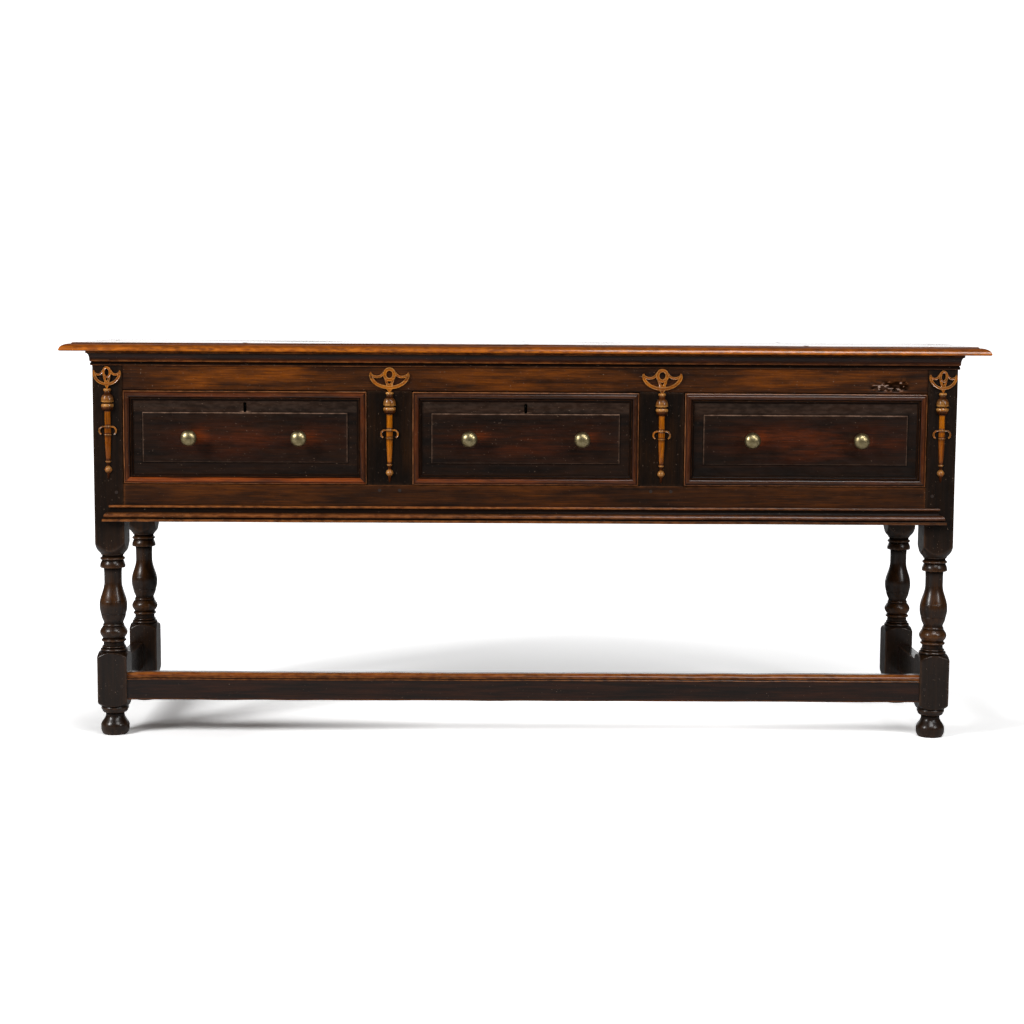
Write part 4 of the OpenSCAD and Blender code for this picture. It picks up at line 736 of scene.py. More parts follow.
def frame_board(node, seed):
    """A board of the frame from shoulder to shoulder, along its grain."""
    lo, hi = low(node), high(node)
    kind = next((k for k in SHOULDERS if k in node), None)
    axis, first, last = SHOULDERS[kind] if kind else (0, lo[0], hi[0])
    if node.startswith("side"):
        axis, first, last = SIDEWISE if kind else (1, lo[1], hi[1])
    lo[axis], hi[axis] = first, last
    holes = bolt_mortises() if node == "front_top_rail" else ()
    cell = 12.0 if node.startswith("front") else 30.0
    cuts = ((), (), ())
    if node == "front_top_rail":
        cuts = (np.arange(*SCAR_X, 2.5), (), np.arange(*SCAR_Z, 2.25))
    shell = board(lo, hi, axis, seed, ease=0.9, cell=cell, holes=holes, cuts=cuts)
    if node.startswith("front") and axis == 0:
        shell[2][:, 1] = BOARD_GRIME[node]
        shell[2][:, 2] = bay_glow(shell[0]) * (1 - 3 * BOARD_GRIME[node])
    if node == "front_top_rail":
        # The top rail's arrises are painted dark: painted shadow lines under the cove and above the drawers.
        shell[2][:, 1] = shell[2][:, 0]
        shell[2][:, 0] = 0
        shell = scarred(shell, lo[1])
    if kind == "muntin":
        shell[2][:, 1] = MUNTIN_GRIME
        shell[2][:, 2] = MUNTIN_GLOW + MUNTIN_MOTTLE * soft_noise(shell[0], 60.0, seed)
    return shell


frame_nodes = [node for node in frame["nodes"] if any(word in node for word in ("rail", "muntin", "panel"))
               and "lock" not in node and "mount" not in node]
frame_nodes += ["side_stretcher_left", "side_stretcher_right"]
for seed, node in enumerate(sorted(frame_nodes)):
    slot = "oak_dark" if "front_muntin" in node or "stretcher" in node else "oak_rail"
    piece("board_" + node, [frame_board(node, 30 + seed)], slot, "carcass", node)
print("frame boards:", len(frame_nodes), "mortises:", len(BOLTS))


# %% [markdown]
# The top is two boards. Their moulded edge is a height field: height depends only on the distance to the
# nearest moulded edge, so the mitres at the corners draw themselves where two distances are equal. The
# thumb moulding is a quarter of an ellipse with a small step inside it, and wear has flattened it between 5
# and 25 degrees, which is where the light lies on it as a band. Its outer arris has been rubbed to orange
# wood. The step's upper corner carries a painted highlight, and dirt with painted shade lies in its inner
# corner.
# %% Top boards
THUMB_W, THUMB_H, THUMB_LOW, TOP_T = 21.0, 13.0, 2.5, TOP - FRAME_TOP
quarter_turn = np.radians([0, 4, 5, 25, 26, 33, 41, 49, 57, 65, 73, 81, 90])
THUMB = np.vstack([
    np.column_stack([THUMB_W * (1 - np.cos(quarter_turn)), THUMB_LOW + THUMB_H * np.sin(quarter_turn)]),
    [[22.6, 15.4], [22.9, 16.6], [23.3, 17.5], [24.2, 18.0]]])
# Distance from the edge against worn, grime and glow: a painted highlight at 23.6 mm, dirt and painted shade
# near 22.3 mm.
TOP_TONES_AND_PAINTED_LIGHT = {"worn": ([0, 1.2, 4, 14, 20, 23, 23.6, 26, 40], [1, 0.95, 0.5, 0.35, 0.2, 0.2, 0.6, 0.2, 0.05]),
             "grime": ([17, 20.5, 22.3, 23, 24], [0, 0.4, 0.9, 0.3, 0]),
             "glow": ([0, 15, 22, 26, 60], [1.0, 0.85, 0.4, 0.3, 0.25])}
NICKS = ((292.0, 7.0, 2.2), (430.0, 6.0, 2.6), (-655.0, 9.0, 1.4))
SEAM_EASE, TOP_WAVE, TOP_NOISE = 0.8, 0.35, 160.0


def top_lines(lo, hi, moulded_lo, moulded_hi):
    """Grid lines over a board: the thumb outline's at a moulded edge, close ones at a plain edge."""
    moulded = np.concatenate([THUMB[:, 0], [26.0, 33.0, 45.0]])
    plain = np.array([0, 0.35, SEAM_EASE, 4.0])
    start = lo + (moulded if moulded_lo else plain)
    end = hi - (moulded if moulded_hi else plain)[::-1]
    middle = np.linspace(start[-1], end[0], math.ceil((end[0] - start[-1]) / 22) + 1)[1:-1]
    return np.concatenate([start, middle, end])


def top_board(node, moulded_front, seed):
    """z = outline(distance to the nearest moulded edge), with eased seams and a nicked front arris."""
    lo, hi = low(node), high(node)
    xs, ys = top_lines(lo[0], hi[0], True, True), top_lines(lo[1], hi[1], moulded_front, False)
    x, y = np.meshgrid(xs, ys, indexing="ij")
    distance = np.minimum(x - lo[0], hi[0] - x)
    plain = hi[1] - y if moulded_front else np.minimum(hi[1] - y, y - lo[1])
    if moulded_front:
        distance = np.minimum(distance, y - lo[1])
    fall = SEAM_EASE - np.sqrt(SEAM_EASE ** 2 - np.clip(SEAM_EASE - plain, 0, SEAM_EASE) ** 2)
    upper = np.stack([x, y, FRAME_TOP + np.interp(distance, *THUMB.T) - fall], axis=-1)
    under = np.stack([x, y, FRAME_TOP + np.clip(1.5 - distance, 0, None) + fall], axis=-1)
    tones = np.stack([np.interp(distance, *TOP_TONES_AND_PAINTED_LIGHT[key]) for key in ("worn", "grime", "glow")], axis=-1)
    tones[..., 1] = np.maximum(tones[..., 1], 0.9 * np.exp(-plain / 0.6))
    depth = np.clip(1 - distance / 12, 0, 1)
    if moulded_front:
        inward = depth * (0.5 + 0.5 * soft_noise(upper * [1, 0, 0], 45.0, seed))
        inward = inward + sum(deep * depth ** 2 * np.exp(-((x - at) / wide) ** 2)
                              for at, wide, deep in NICKS)
        upper[..., 1] += np.where(y - lo[1] < 30, inward, 0)
        under[..., 1] += np.where(y - lo[1] < 30, inward, 0)
    wave = TOP_WAVE * soft_noise(upper * [1, 1, 0], TOP_NOISE, seed + 5)
    upper[..., 2] += wave * np.clip(distance / 30, 0, 1) - TOP_WAVE
    return slab(upper, under, tones, 0)


piece("moulded_top_front", [top_board("top_board_front", True, 71)], "oak_top", "carcass", "top_board_front")
piece("moulded_top_rear", [top_board("top_board_rear", False, 72)], "oak_top", "carcass", "top_board_rear")
print("top outline", THUMB.shape[0], "points, thickness", TOP_T)


# %% [markdown]
# Mouldings are planed in lengths and cut at the corners with a mitre. `mitred` carries an outline along a
# line: the further a point of the outline stands from the line, the further it runs past the ends, which
# makes the mitres. The tones of both long mouldings are tables of levels across the outline, because rags
# and dusters reach some members of it and not others, and because light and shade are painted into them:
# painted highlights on ridges and beads, a painted reflection on the cove's upper fillet, and painted
# shade in the quirks and just under the top.
# %% Mouldings under the top and on the bottom rail
MOULDING_WAVE, MOULDING_NOISE, BASE_WAVE, BASE_NOISE = 0.25, 70.0, 0.3, 80.0


def mitred(outline, a, b, across, rise, grow, flat, along, seed, pace=14.0):
    """p(s) = a + d (s L + g(s) u) + across u + rise v; flat says which of u, v is 0 at the back."""
    a, b, across, rise = (np.array(v, float) for v in (a, b, across, rise))
    length = np.linalg.norm(b - a)
    s = np.linspace(0, 1, math.ceil(length / pace) + 1)[:, None, None]
    back = outline * ([0, 1] if flat == 0 else [1, 0])
    grids = []
    for line in (outline, back):
        u, v = line[None, :, :1], line[None, :, 1:]
        run = s * length - grow[0] * u * (1 - s) + grow[1] * u * s
        grid = a + (b - a) / length * run + across * u + rise * v
        grids.append(ripple(grid, MOULDING_WAVE, MOULDING_NOISE, seed))
    return slab(*grids, np.zeros(grids[0].shape), along)


def arc(centre, size, start, end, steps=8):
    """Points centre + size (cos a, sin a) for a from start to end, in degrees."""
    a = np.radians(np.linspace(start, end, steps + 1))
    return np.column_stack([centre[0] + size[0] * np.cos(a), centre[1] + size[1] * np.sin(a)])


COVE = np.concatenate([
    [[0, -30], [2.4, -30]], arc((2.4, -29.2), (0.8, 0.8), -90, 0, 3),
    [[3.2, -27.0], [3.0, -25.0], [2.2, -24.2], [1.5, -23.6], [1.5, -22.6], [2.0, -22.0], [3.3, -22.0]],
    [[3.8, -21.5], [3.8, -20.3], [4.4, -19.6]], arc((9.6, -19.2), (5.2, 14.2), 180, 90, 10),
    [[10.4, -5], [11, -4.5], [11, -1.1], [10.5, -0.3], [9.8, 0], [0, 0]]])
# Rows are height, worn, grime, glow: a painted reflection on the fillet under the top (-1.1), painted shade
# just under the top (0) and over the bead and quirk at the foot, and a painted highlight on the fillet
# above.
COVE_TONES_AND_PAINTED_LIGHT = np.array([
    [-30.0, 0.5, 0.0, 0.1], [-29.4, 0.5, 0.0, 0.1], [-28.4, 0.0, 0.8, 0.0], [-25.0, 0.0, 0.9, 0.0],
    [-22.2, 0.0, 1.0, 0.0], [-21.8, 0.6, 0.0, 0.4], [-20.0, 0.8, 0.0, 0.4], [-18.8, 0.1, 0.0, 0.3],
    [-14.0, 0.0, 0.05, 0.2], [-5.2, 0.0, 0.5, 0.0], [-4.4, 0.5, 0.0, 0.1], [-1.1, 0.9, 0.0, 0.0],
    [0.0, 0.0, 0.9, 0.0]])
DULLER_X, DULLER_SHARE = [100, 600], [1.0, 0.4]


def duller_on_right(x):
    """Factors for worn, grime and glow: the two long mouldings are painted less worn and less warm on their
    right half.
    """
    share = np.interp(x, DULLER_X, DULLER_SHARE)
    return np.stack([share, np.ones_like(share), share], axis=-1)


corners = [(-HALF, FRONT, FRAME_TOP), (HALF, FRONT, FRAME_TOP)]
cove = [mitred(COVE, *corners, (0, -1, 0), (0, 0, 1), (1, 1), 0, 0, 81)]
for end in (-1, 1):
    lengths = [(end * HALF, FRONT, FRAME_TOP), (end * HALF, BACK, FRAME_TOP)]
    cove.append(mitred(COVE, *lengths, (end, 0, 0), (0, 0, 1), (1, 0), 0, 1, 82 + end))
for shell in cove:
    shell[2][:] = toned(shell[0][:, 2] - FRAME_TOP, COVE_TONES_AND_PAINTED_LIGHT) * duller_on_right(shell[0][:, 0])
piece("cove_under_top", cove, "oak_moulding", "carcass", "cove_moulding")

BASE = np.concatenate([
    [[0, 0], [17, 0], [17.7, 0.3], [18, 1], [18, 5.3], [17.6, 6.3], [16.8, 6.9], [14.4, 7.3], [14, 8.6]],
    arc((7.5, 8.8), (8.0, 10.2), 0, 90, 10), [[6.0, 19.2], [5.5, 20.0]],
    arc((5.5, 28.0), (2.5, 8.0), -90, -175, 6), [[3, 28]],
    arc((3.4, 31.0), (2.6, 3.0), -60, 90, 8), [[0, 34]]])
# Rows are height, worn, grime, glow: painted highlights with wear on the lowest lip, the ridge and the top
# bead, and painted shade with dirt in the quirks and the hollow.
BASE_TONES_AND_PAINTED_LIGHT = np.array([
    [0, 0.2, 0.5, 0], [1, 0.9, 0, 0], [5, 0.9, 0, 0.1], [6, 0, 1, 0], [8.4, 0, 1, 0], [9.5, 0.2, 0.1, 0.2],
    [13, 0.7, 0, 0.3], [18, 0.3, 0.3, 0.1], [19.5, 0, 0.8, 0], [27.5, 0, 0.9, 0], [28.5, 0.7, 0, 0.3],
    [31, 0.9, 0, 0.3], [33, 0.7, 0, 0.2], [34, 0, 0.6, 0]])


def returned(outline, half, pace, seed):
    """A moulding whose ends turn back: its first and last rows lie on the frame's front plane."""
    u, v = outline[None, :, 0], outline[None, :, 1]
    s = np.linspace(-1, 1, math.ceil(2 * half / pace) + 1)[:, None]
    s = np.vstack([s[:1], s, s[-1:]])
    out = np.ones_like(s)
    out[[0, -1]] = 0
    base = low("base_moulding")[2]
    front = np.stack([s * (half + u), FRONT - out * u + 0 * s, base + v + 0 * s], axis=-1)
    back = front * [1, 0, 1] + [0, FRONT, 0]
    tones = toned(outline[:, 1], BASE_TONES_AND_PAINTED_LIGHT) * duller_on_right(front[..., 0])
    faces = [ripple(face, BASE_WAVE, BASE_NOISE, seed) for face in (front, back)]
    return slab(*faces, tones, 0)


base_half = high("base_moulding")[0] - BASE[:, 0].max()
base_shells = [returned(BASE, base_half, 14.0, 85)]
piece("base_moulding_on_rail", base_shells, "oak_moulding", "carcass", "base_moulding")
print("mouldings: cove", len(COVE), "points, base", len(BASE), "points")


# %% [markdown]
# The front stretcher has a rounded upper edge with a bead below it, and feet have rubbed it to bare wood.
# Its outline runs from the lower arris up the front and over the top, and the slab's other face is its
# back.
# %% Front stretcher
STRETCHER_WAVE, STRETCHER_NOISE, STRETCHER_COLUMNS = 0.6, 70.0, 130


def front_stretcher():
    """Front rows follow the outline from the lower arris to the top; back rows climb the back."""
    lo, hi = low("front_stretcher"), high("front_stretcher")
    deep, tall, thumb = hi[1] - lo[1], hi[2] - lo[2], 10.0
    outline = np.concatenate([
        [[2.4, 0], [1.2, 0.5], [0.8, 1.6]], stretch(4, 0.8, tall - 18, 0.8, steps=4)[:, ::-1],
        [[0.8, tall - thumb - 6.5]], arc((1.6, tall - thumb - 4.2), (1.3, 1.9), -130, -230, 6),
        [[1.9, tall - thumb - 1.4], [1.9, tall - thumb - 0.9], [0.4, tall - thumb - 0.3]],
        arc((thumb, tall - thumb), (thumb, thumb), 180, 90, 8), [[14, tall], [deep - 1.2, tall]]])
    share = np.linspace(0, 1, len(outline))
    back = np.column_stack([np.full(len(outline), deep), share * (tall - 1.2)])
    xs = np.linspace(LEG_IN, -LEG_IN, STRETCHER_COLUMNS)
    grids = []
    for line in (outline, back):
        grid = together(xs[:, None], lo[1] + line[None, :, 0], lo[2] + line[None, :, 1])
        grids.append(ripple(grid, STRETCHER_WAVE, STRETCHER_NOISE, 91))
    # Relief tones: dirt with painted shade in the quirk under the thumb, wear with painted highlights where
    # it stands out.
    tones = np.repeat(wear_highlight_dirt_and_shade(-relief(*outline.T, 2.2), 0.8)[None], len(xs), axis=0)
    top_edge = np.exp(-((outline[:, 1] - tall) / 6) ** 2) * (outline[:, 0] < 13)
    tones[..., 0] = np.maximum(tones[..., 0], 0.9 * top_edge)
    tones[..., 1] = np.maximum(tones[..., 1], 0.05 * (1 - top_edge))
    tones[..., 2] = top_edge
    return slab(*grids, tones, 0)


piece("worn_front_stretcher", [front_stretcher()], "oak_moulding", "carcass", "front_stretcher")
print("front stretcher between the legs:", -2 * LEG_IN, "mm")


# %% [markdown]
# A drawer front is a board with a rebate at each end for the sides, one below for the bottom, and in two of
# them a recess for the lock and a keyhole. Its raised field is drawn by pushing the front plane's points
# forward inside an outline, over less than a millimetre, so that a crisp arris stays. That arris is painted
# pale, a painted highlight over a little wear, most along its upper border where the light falls, less at
# the sides and least below. Just outside the field a thin line is painted dark, as the shade at its foot.
# %% Drawer fronts
FIELD_OUT, FIELD_X, FIELD_Z, FIELD_EDGE = 2.5, 41.0, 46.0, 0.9
WORN_LIT_SIDES, WORN_LIT_BELOW, WORN_LIT_ABOVE, UPPER_FILM = 0.6, 0.3, 1.3, 0.06
FRONT_LAP, KEYHOLE_W, KEYHOLE_H, KEYHOLE_UP, LOCK_T = 8.0, 6.5, 21.0, 63.0, 11.0
FIELD_STEPS = (-5.0, -2.2, -FIELD_EDGE, 0.0, 0.25, 0.55, FIELD_EDGE, 1.6, 3.0)
SLOT_STEPS = (0.0, 0.38, 0.71, 0.92, 1.0)
DRAWER_PLAY, FRONT_WAVE, NEAR = 1.5, 0.2, 0.001


def drawer_front(side, seed):
    """The board with its cuts. Field points move out by FIELD_OUT sin(pi/2 clip(d / FIELD_EDGE))."""
    node = side + "_drawer_front"
    lo, hi = low(node), high(node)
    lo[1] += FIELD_OUT
    x0, z0 = (lo[0] + hi[0]) / 2, (OPENING_LOW + RAIL_LOW) / 2
    inner = high(side + "_drawer_side_left")[0]
    side_lo, side_hi = low(side + "_drawer_side_left")[2], high(side + "_drawer_side_left")[2]
    lap, ever = lo[1] + FRONT_LAP, np.inf
    holes = [(np.array([-ever, lap, -ever]), np.array([ever, ever, side_lo]))]
    for end in ((-ever, inner), (2 * x0 - inner, ever)):
        holes.append((np.array([end[0], lap, side_lo]), np.array([end[1], ever, side_hi])))
    half_x, half_z = (x0 - lo[0]) + DRAWER_PLAY - FIELD_X, (RAIL_LOW - OPENING_LOW) / 2 - FIELD_Z
    cuts = [[x0 + s * (half_x - d) for s in (-1, 1) for d in FIELD_STEPS], [],
            [z0 + s * (half_z - d) for s in (-1, 1) for d in FIELD_STEPS]]
    slot_r, slot_z = KEYHOLE_W / 2, z0 + KEYHOLE_UP
    straight = KEYHOLE_H / 2 - slot_r
    locked = side + "_lock_case" in frame["nodes"]
    if locked:
        case_lo, case_hi = low(side + "_lock_case"), high(side + "_lock_case")
        recess_lo = np.array([case_lo[0], hi[1] - LOCK_T, case_lo[2]])
        holes.append((recess_lo, np.array([case_hi[0], ever, ever])))
        holes.append((np.array([x0 - slot_r, -ever, slot_z - KEYHOLE_H / 2]),
                      np.array([x0 + slot_r, ever, slot_z + KEYHOLE_H / 2])))
        cuts[0] += [x0]
        cuts[2] += [slot_z + s * (straight + slot_r * k) for s in (-1, 1) for k in SLOT_STEPS]
    points, quads, tones, along = board(lo, hi, 0, seed, ease=0.8, cell=12.0, holes=holes, cuts=cuts, wave=0)
    borders = np.stack([half_x - np.abs(points[:, 0] - x0), half_z + points[:, 2] - z0,
                        half_z - points[:, 2] + z0])
    inside = borders.min(axis=0)
    at_front = np.abs(points[:, 1] - lo[1]) < NEAR
    points[:, 1] -= at_front * FIELD_OUT * np.sin(np.pi / 2 * np.clip(inside / FIELD_EDGE, 0, 1))
    # Painted highlight on the field's arris, over a little wear: strongest above, weaker at the sides, least
    # below.
    worn_lit = at_front * np.array([WORN_LIT_SIDES, WORN_LIT_BELOW, WORN_LIT_ABOVE])[borders.argmin(axis=0)]
    tones[:, 0] = np.maximum(tones[:, 0], worn_lit * np.exp(-np.abs(inside - 0.7) / 0.5))
    tones[:, 0] = np.maximum(tones[:, 0], UPPER_FILM * at_front * np.clip(-borders[2] / 3, 0, 1))
    # Painted shade: a dark line just outside the field, at the foot of its step.
    tones[:, 1] = at_front * 0.7 * np.exp(-np.abs(inside + 0.9) / 1.0)
    tones[:, 2] = drawer_glow(points, x0, z0, half_x, side)
    if locked:
        past = np.abs(points[:, 2] - slot_z) - straight
        within = (np.abs(points[:, 0] - x0) < slot_r + NEAR) & (past < slot_r + NEAR)
        narrow = np.sqrt(np.clip(1 - (np.clip(past, 0, None) / slot_r) ** 2, 0, 1))
        points[:, 0] = np.where(within, x0 + (points[:, 0] - x0) * narrow, points[:, 0])
        tones[:, 0] = np.maximum(tones[:, 0], 0.8 * (within & at_front & (points[:, 2] < slot_z - straight)))
    return ripple(points, FRONT_WAVE, BOARD_NOISE, seed), quads, tones, along


KNOB_R = 17.0
KNOB_BOXES = {side: (low(side + "_drawer_knobs"), high(side + "_drawer_knobs")) for side in BAYS}
KNOB_X = {side: (hi - lo)[0] / 2 - KNOB_R for side, (lo, hi) in KNOB_BOXES.items()}
NEAR_SPOT, WIDE_SPOT, MIDDLE_SPOT = (20, 3, 22, 17, 1.0), (20, 0, 80, 32, 0.4), (0, 0, -4, 130, 34, 0.6)
GLOW_SPOTS = [(hand, *spot) for spot in (NEAR_SPOT, WIDE_SPOT) for hand in (-1, 1)] + [MIDDLE_SPOT]
FIELD_GLOW, BROAD = {"left": 0.6, "middle": 0.55, "right": 1.0}, 50


def drawer_glow(points, x0, z0, half_x, side):
    """Warm patches right of each knob and in the field's middle."""
    level = FIELD_GLOW[side]
    warm = np.zeros(len(points))
    for hand, shift, rise, wide, tall, share in GLOW_SPOTS:
        x, z = x0 + hand * KNOB_X[side] + shift, z0 + rise
        bump = np.exp(-((points[:, 0] - x) / wide) ** 2 - ((points[:, 2] - z) / tall) ** 2)
        warm = np.maximum(warm, (share if wide < BROAD else share * level) * bump)
    return warm * (np.abs(points[:, 0] - x0) < half_x)


# %% [markdown]
# Each drawer is a box of dry oak behind its front: two sides that hang on the runners by a groove, a back,
# and a bottom nailed up from below. Boards that only the inside shows are plain planks. Sides and runners
# are worn smooth where they slide on each other, so the noise moves them less than other boards.
# %% Drawer boxes and runners
GROOVE_GAP, GROOVE_SLIP, GROOVE_DEEP, BOX_EASE, SLIDING_WAVE = 1.0, 0.3, 8.0, 0.7, 0.08
RUNNER_LET_IN, RUNNER_W = 12.0, 20.5


def drawer_side(side, hand, seed):
    """A side with its groove, cut from the outer face and open at the back."""
    node = f"{side}_drawer_side_{hand}"
    lo, hi = low(node), high(node)
    near = low("drawer_runners")
    groove_lo = np.array([-np.inf, near[1] - GROOVE_SLIP, near[2] - GROOVE_GAP])
    groove_hi = np.array([np.inf, np.inf, high("drawer_runners")[2] + GROOVE_SLIP])
    if hand == "left":
        groove_hi[0] = lo[0] + GROOVE_DEEP
    else:
        groove_lo[0] = hi[0] - GROOVE_DEEP
    return board(lo, hi, 1, seed, BOX_EASE, holes=[(groove_lo, groove_hi)], wave=SLIDING_WAVE)


for number, side in enumerate(BAYS):
    body = side + "_drawer"
    piece(side + "_raised_front", [drawer_front(side, 100 + number)], "oak_front", body, body + "_front")
    for hand in ("left", "right"):
        node = f"{body}_side_{hand}"
        piece("board_" + node, [drawer_side(side, hand, 110 + number)], "oak_inside", body, node)
    for part in ("back", "bottom"):
        node = f"{body}_{part}"
        plank = board(low(node), high(node), 0, 120 + number, BOX_EASE)
        piece("board_" + node, [plank], "oak_inside", body, node)


def runner(x, hand, seed):
    """One runner, let into its leg or muntin, whose other edge lies in the drawer's groove."""
    lo, hi = low("drawer_runners"), high("drawer_runners")
    lo[0], hi[0] = (x, x + RUNNER_W) if hand == "left" else (x - RUNNER_W, x)
    return board(lo, hi, 1, seed, 0.8, wave=SLIDING_WAVE)


runners = []
for number, side in enumerate(BAYS):
    opening_left = low(side + "_drawer_side_left")[0] - DRAWER_PLAY
    opening_right = high(side + "_drawer_side_right")[0] + DRAWER_PLAY
    runners += [runner(opening_left - RUNNER_LET_IN, "left", 130 + number),
                runner(opening_right + RUNNER_LET_IN, "right", 140 + number)]
piece("six_drawer_runners", runners, "oak_inside", "carcass", "drawer_runners")
print("drawer boxes for", list(BAYS))


# %% [markdown]
# Nails hold each side to the front and to the back. A forged head is hammered nearly flush, so it shows as
# a low dome of dark iron, 6 mm wide, with an uneven rim.
# %% Drawer nails
NAIL = np.array([[-0.4, 0], [-0.4, 2.6], [0.1, 3.0], [0.35, 2.4], [0.5, 1.2], [0.55, 0]])
NAIL_SIDES, NAIL_SET = 12, 16.0


def nail_head(x, y, z, hand):
    """Spun outline along X, roughened: (x + hand out, y + r cos a, z + r sin a)."""
    out, r = NAIL.T
    angle = np.arange(NAIL_SIDES) * 2 * np.pi / NAIL_SIDES
    grid = together(x + hand * out[:, None], y + r[:, None] * np.cos(angle), z + r[:, None] * np.sin(angle))
    return lathed(ripple(grid, 0.2, 4.0, 7), np.zeros(grid.shape), 0)


for side in BAYS:
    lap = low(side + "_drawer_front")[1] + FIELD_OUT + FRONT_LAP
    back = side + "_drawer_back"
    rows = (lap + high(side + "_drawer_front")[1]) / 2, (low(back) + high(back))[1] / 2
    heads = []
    for hand, word in ((-1, "left"), (1, "right")):
        lo, hi = low(f"{side}_drawer_side_{word}"), high(f"{side}_drawer_side_{word}")
        x = lo[0] if hand < 0 else hi[0]
        heads += [nail_head(x, y, z, hand) for y in rows for z in (lo[2] + NAIL_SET, hi[2] - NAIL_SET)]
    piece(side + "_drawer_nails", heads, "iron", side + "_drawer")
print("nail heads in each drawer:", len(heads))


# %% [markdown]
# Every drawer front is framed by four mitred lengths of one moulding: a round ridge, a quirk and a hollow
# that falls towards the field. The ridge is rubbed to red-brown, and its outer arris carries a painted
# highlight. The quirk and hollow are dark with dirt and painted shade. Each length has its own level of
# warm colour, which also paints the light and shade that fall on it: the lower length of the left drawer
# is the brightest.
# %% Drawer mouldings
MOULD_H = 8.5
ridge = np.radians(np.arange(15, 166, 15))
hollow = np.radians(np.arange(15, 76, 15))
DRAWER_MOULD = np.concatenate([
    [[0, 0], [0, 3.2], [0.5, 3.8], [2.6, 4.4]],
    np.column_stack([2.7 + 5.5 * (1 - np.cos(ridge)), MOULD_H * (0.46 + 0.54 * np.sin(ridge))]),
    [[13.8, 3.3], [14.4, 3.3], [14.8, 3.9]],
    np.column_stack([14.8 + 4.8 * np.sin(hollow), 3.9 - 2.6 * (1 - np.cos(hollow))]),
    [[19.8, 1.4], [20, 1.0], [20, 0]]])
MITRE_GAP = 0.1
# Per drawer, the warm colour of the lower, right, upper and left lengths, set apart as painted light and
# shade.
MOULD_FADE_AND_LIGHT = {"left": (1.8, 0.3, 0.35, 0.3), "middle": (0.6, 0.2, 0.05, 0.3),
              "right": (0.12, 0.4, 0.12, 0.2)}
MOULD_WEAR_AND_HIGHLIGHT = ([0, 0.5, 1.5, 4, 8, 11, 14, 14.8, 15.6, 19, 19.7],
              [0.3, 1.25, 0, 0, 0.15, 0, 0, 0.4, 0, 0, 0.3])
MOULD_DIRT_AND_SHADE = ([0, 0.6, 2.4, 4, 12.4, 13.6, 14.6, 14.9, 15.8, 20],
               [0.5, 0, 0.6, 0, 0, 0.9, 0.9, 0.2, 0.75, 0.85])
MOULD_FADED = ([2, 4, 12.5, 13.6], [0.3, 1, 1, 0])


def mould_tones(glow):
    """Tones along the outline: a worn arris with a painted highlight, a worn ridge, dirt and painted shade
    in the quirk and hollow, a worn lip.
    """
    u = DRAWER_MOULD[:, 0]
    return np.column_stack([np.interp(u, *MOULD_WEAR_AND_HIGHLIGHT), np.interp(u, *MOULD_DIRT_AND_SHADE),
                            glow * np.interp(u, *MOULD_FADED)])


def drawer_moulding(side, seed):
    """Four lengths round the front, each carried from corner to corner and mitred inwards."""
    node = side + "_drawer_mouldings"
    lo, hi = low(node), high(node)
    y = hi[1]
    corner = [(lo[0], y, lo[2]), (hi[0], y, lo[2]), (hi[0], y, hi[2]), (lo[0], y, hi[2])]
    inward = [(0, 0, 1), (-1, 0, 0), (0, 0, -1), (1, 0, 0)]
    shells = []
    for k in range(4):
        a, b = np.array(corner[k]), np.array(corner[(k + 1) % 4])
        nudge = MITRE_GAP * (b - a) / np.linalg.norm(b - a)
        shell = mitred(DRAWER_MOULD, a + nudge, b - nudge, inward[k], (0, -1, 0), (-1, -1), 1, 2 * (k % 2),
                       seed + k, 11.0)
        line = mould_tones(MOULD_FADE_AND_LIGHT[side][k])
        shell[2][:] = np.tile(line, (len(shell[2]) // len(line), 1))
        shells.append(shell)
    return shells


for number, side in enumerate(BAYS):
    lengths = drawer_moulding(side, 150 + 10 * number)
    piece(side + "_mitred_mouldings", lengths, "oak_moulding", side + "_drawer", side + "_drawer_mouldings")
print("drawer moulding", len(DRAWER_MOULD), "points")


# %% [markdown]
# The knobs are turned brass: a flange, a neck and a slightly flattened ball, rubbed bright in front and
# dull in the neck. The outline is spun round the knob's own axis, which runs along Y.
# %% Knobs
FIELD_Y = FRONT + 1.0 - FIELD_OUT
ball = np.radians(np.concatenate([np.arange(-66, 80, 6), [81, 84.5]]))
KNOB = np.concatenate([
    [[-2.0, 0], [-2.0, 3.9], [0, 3.9], [0, 8.2], [0.4, 8.5], [1.3, 8.5], [1.8, 8.0], [2.6, 7.0], [3.6, 6.3]],
    [[5.0, 6.0], [9.0, 5.9], [11.6, 6.0]],
    np.column_stack([24.5 + 12.5 * np.sin(ball), KNOB_R * np.cos(ball)]),
    [[36.9, 0.9], [36.5, 0.6], [36.4, 0]]])
KNOB_SIDES = 64


def knob(x, z):
    """Spun outline: (x + r cos a, field - out, z + r sin a)."""
    out, r = KNOB.T
    angle = np.arange(KNOB_SIDES) * 2 * np.pi / KNOB_SIDES
    grid = together(x + r[:, None] * np.cos(angle), FIELD_Y - out[:, None], z + r[:, None] * np.sin(angle))
    tones = np.zeros(grid.shape)
    tones[..., 0] = np.clip((out[:, None] - 22) / 12, 0, 1)
    tones[..., 1] = np.clip(1 - np.abs(out[:, None] - 8) / 8, 0, 1)
    return lathed(grid, tones, 1)


for side, (lo, hi) in KNOB_BOXES.items():
    middle = (lo + hi) / 2
    knobs = [knob(middle[0] + s * KNOB_X[side], middle[2]) for s in (-1, 1)]
    piece(side + "_turned_knobs", knobs, "brass", side + "_drawer", side + "_drawer_knobs")
print("knob spacing", {side: round(float(2 * KNOB_X[side]), 1) for side in BAYS})


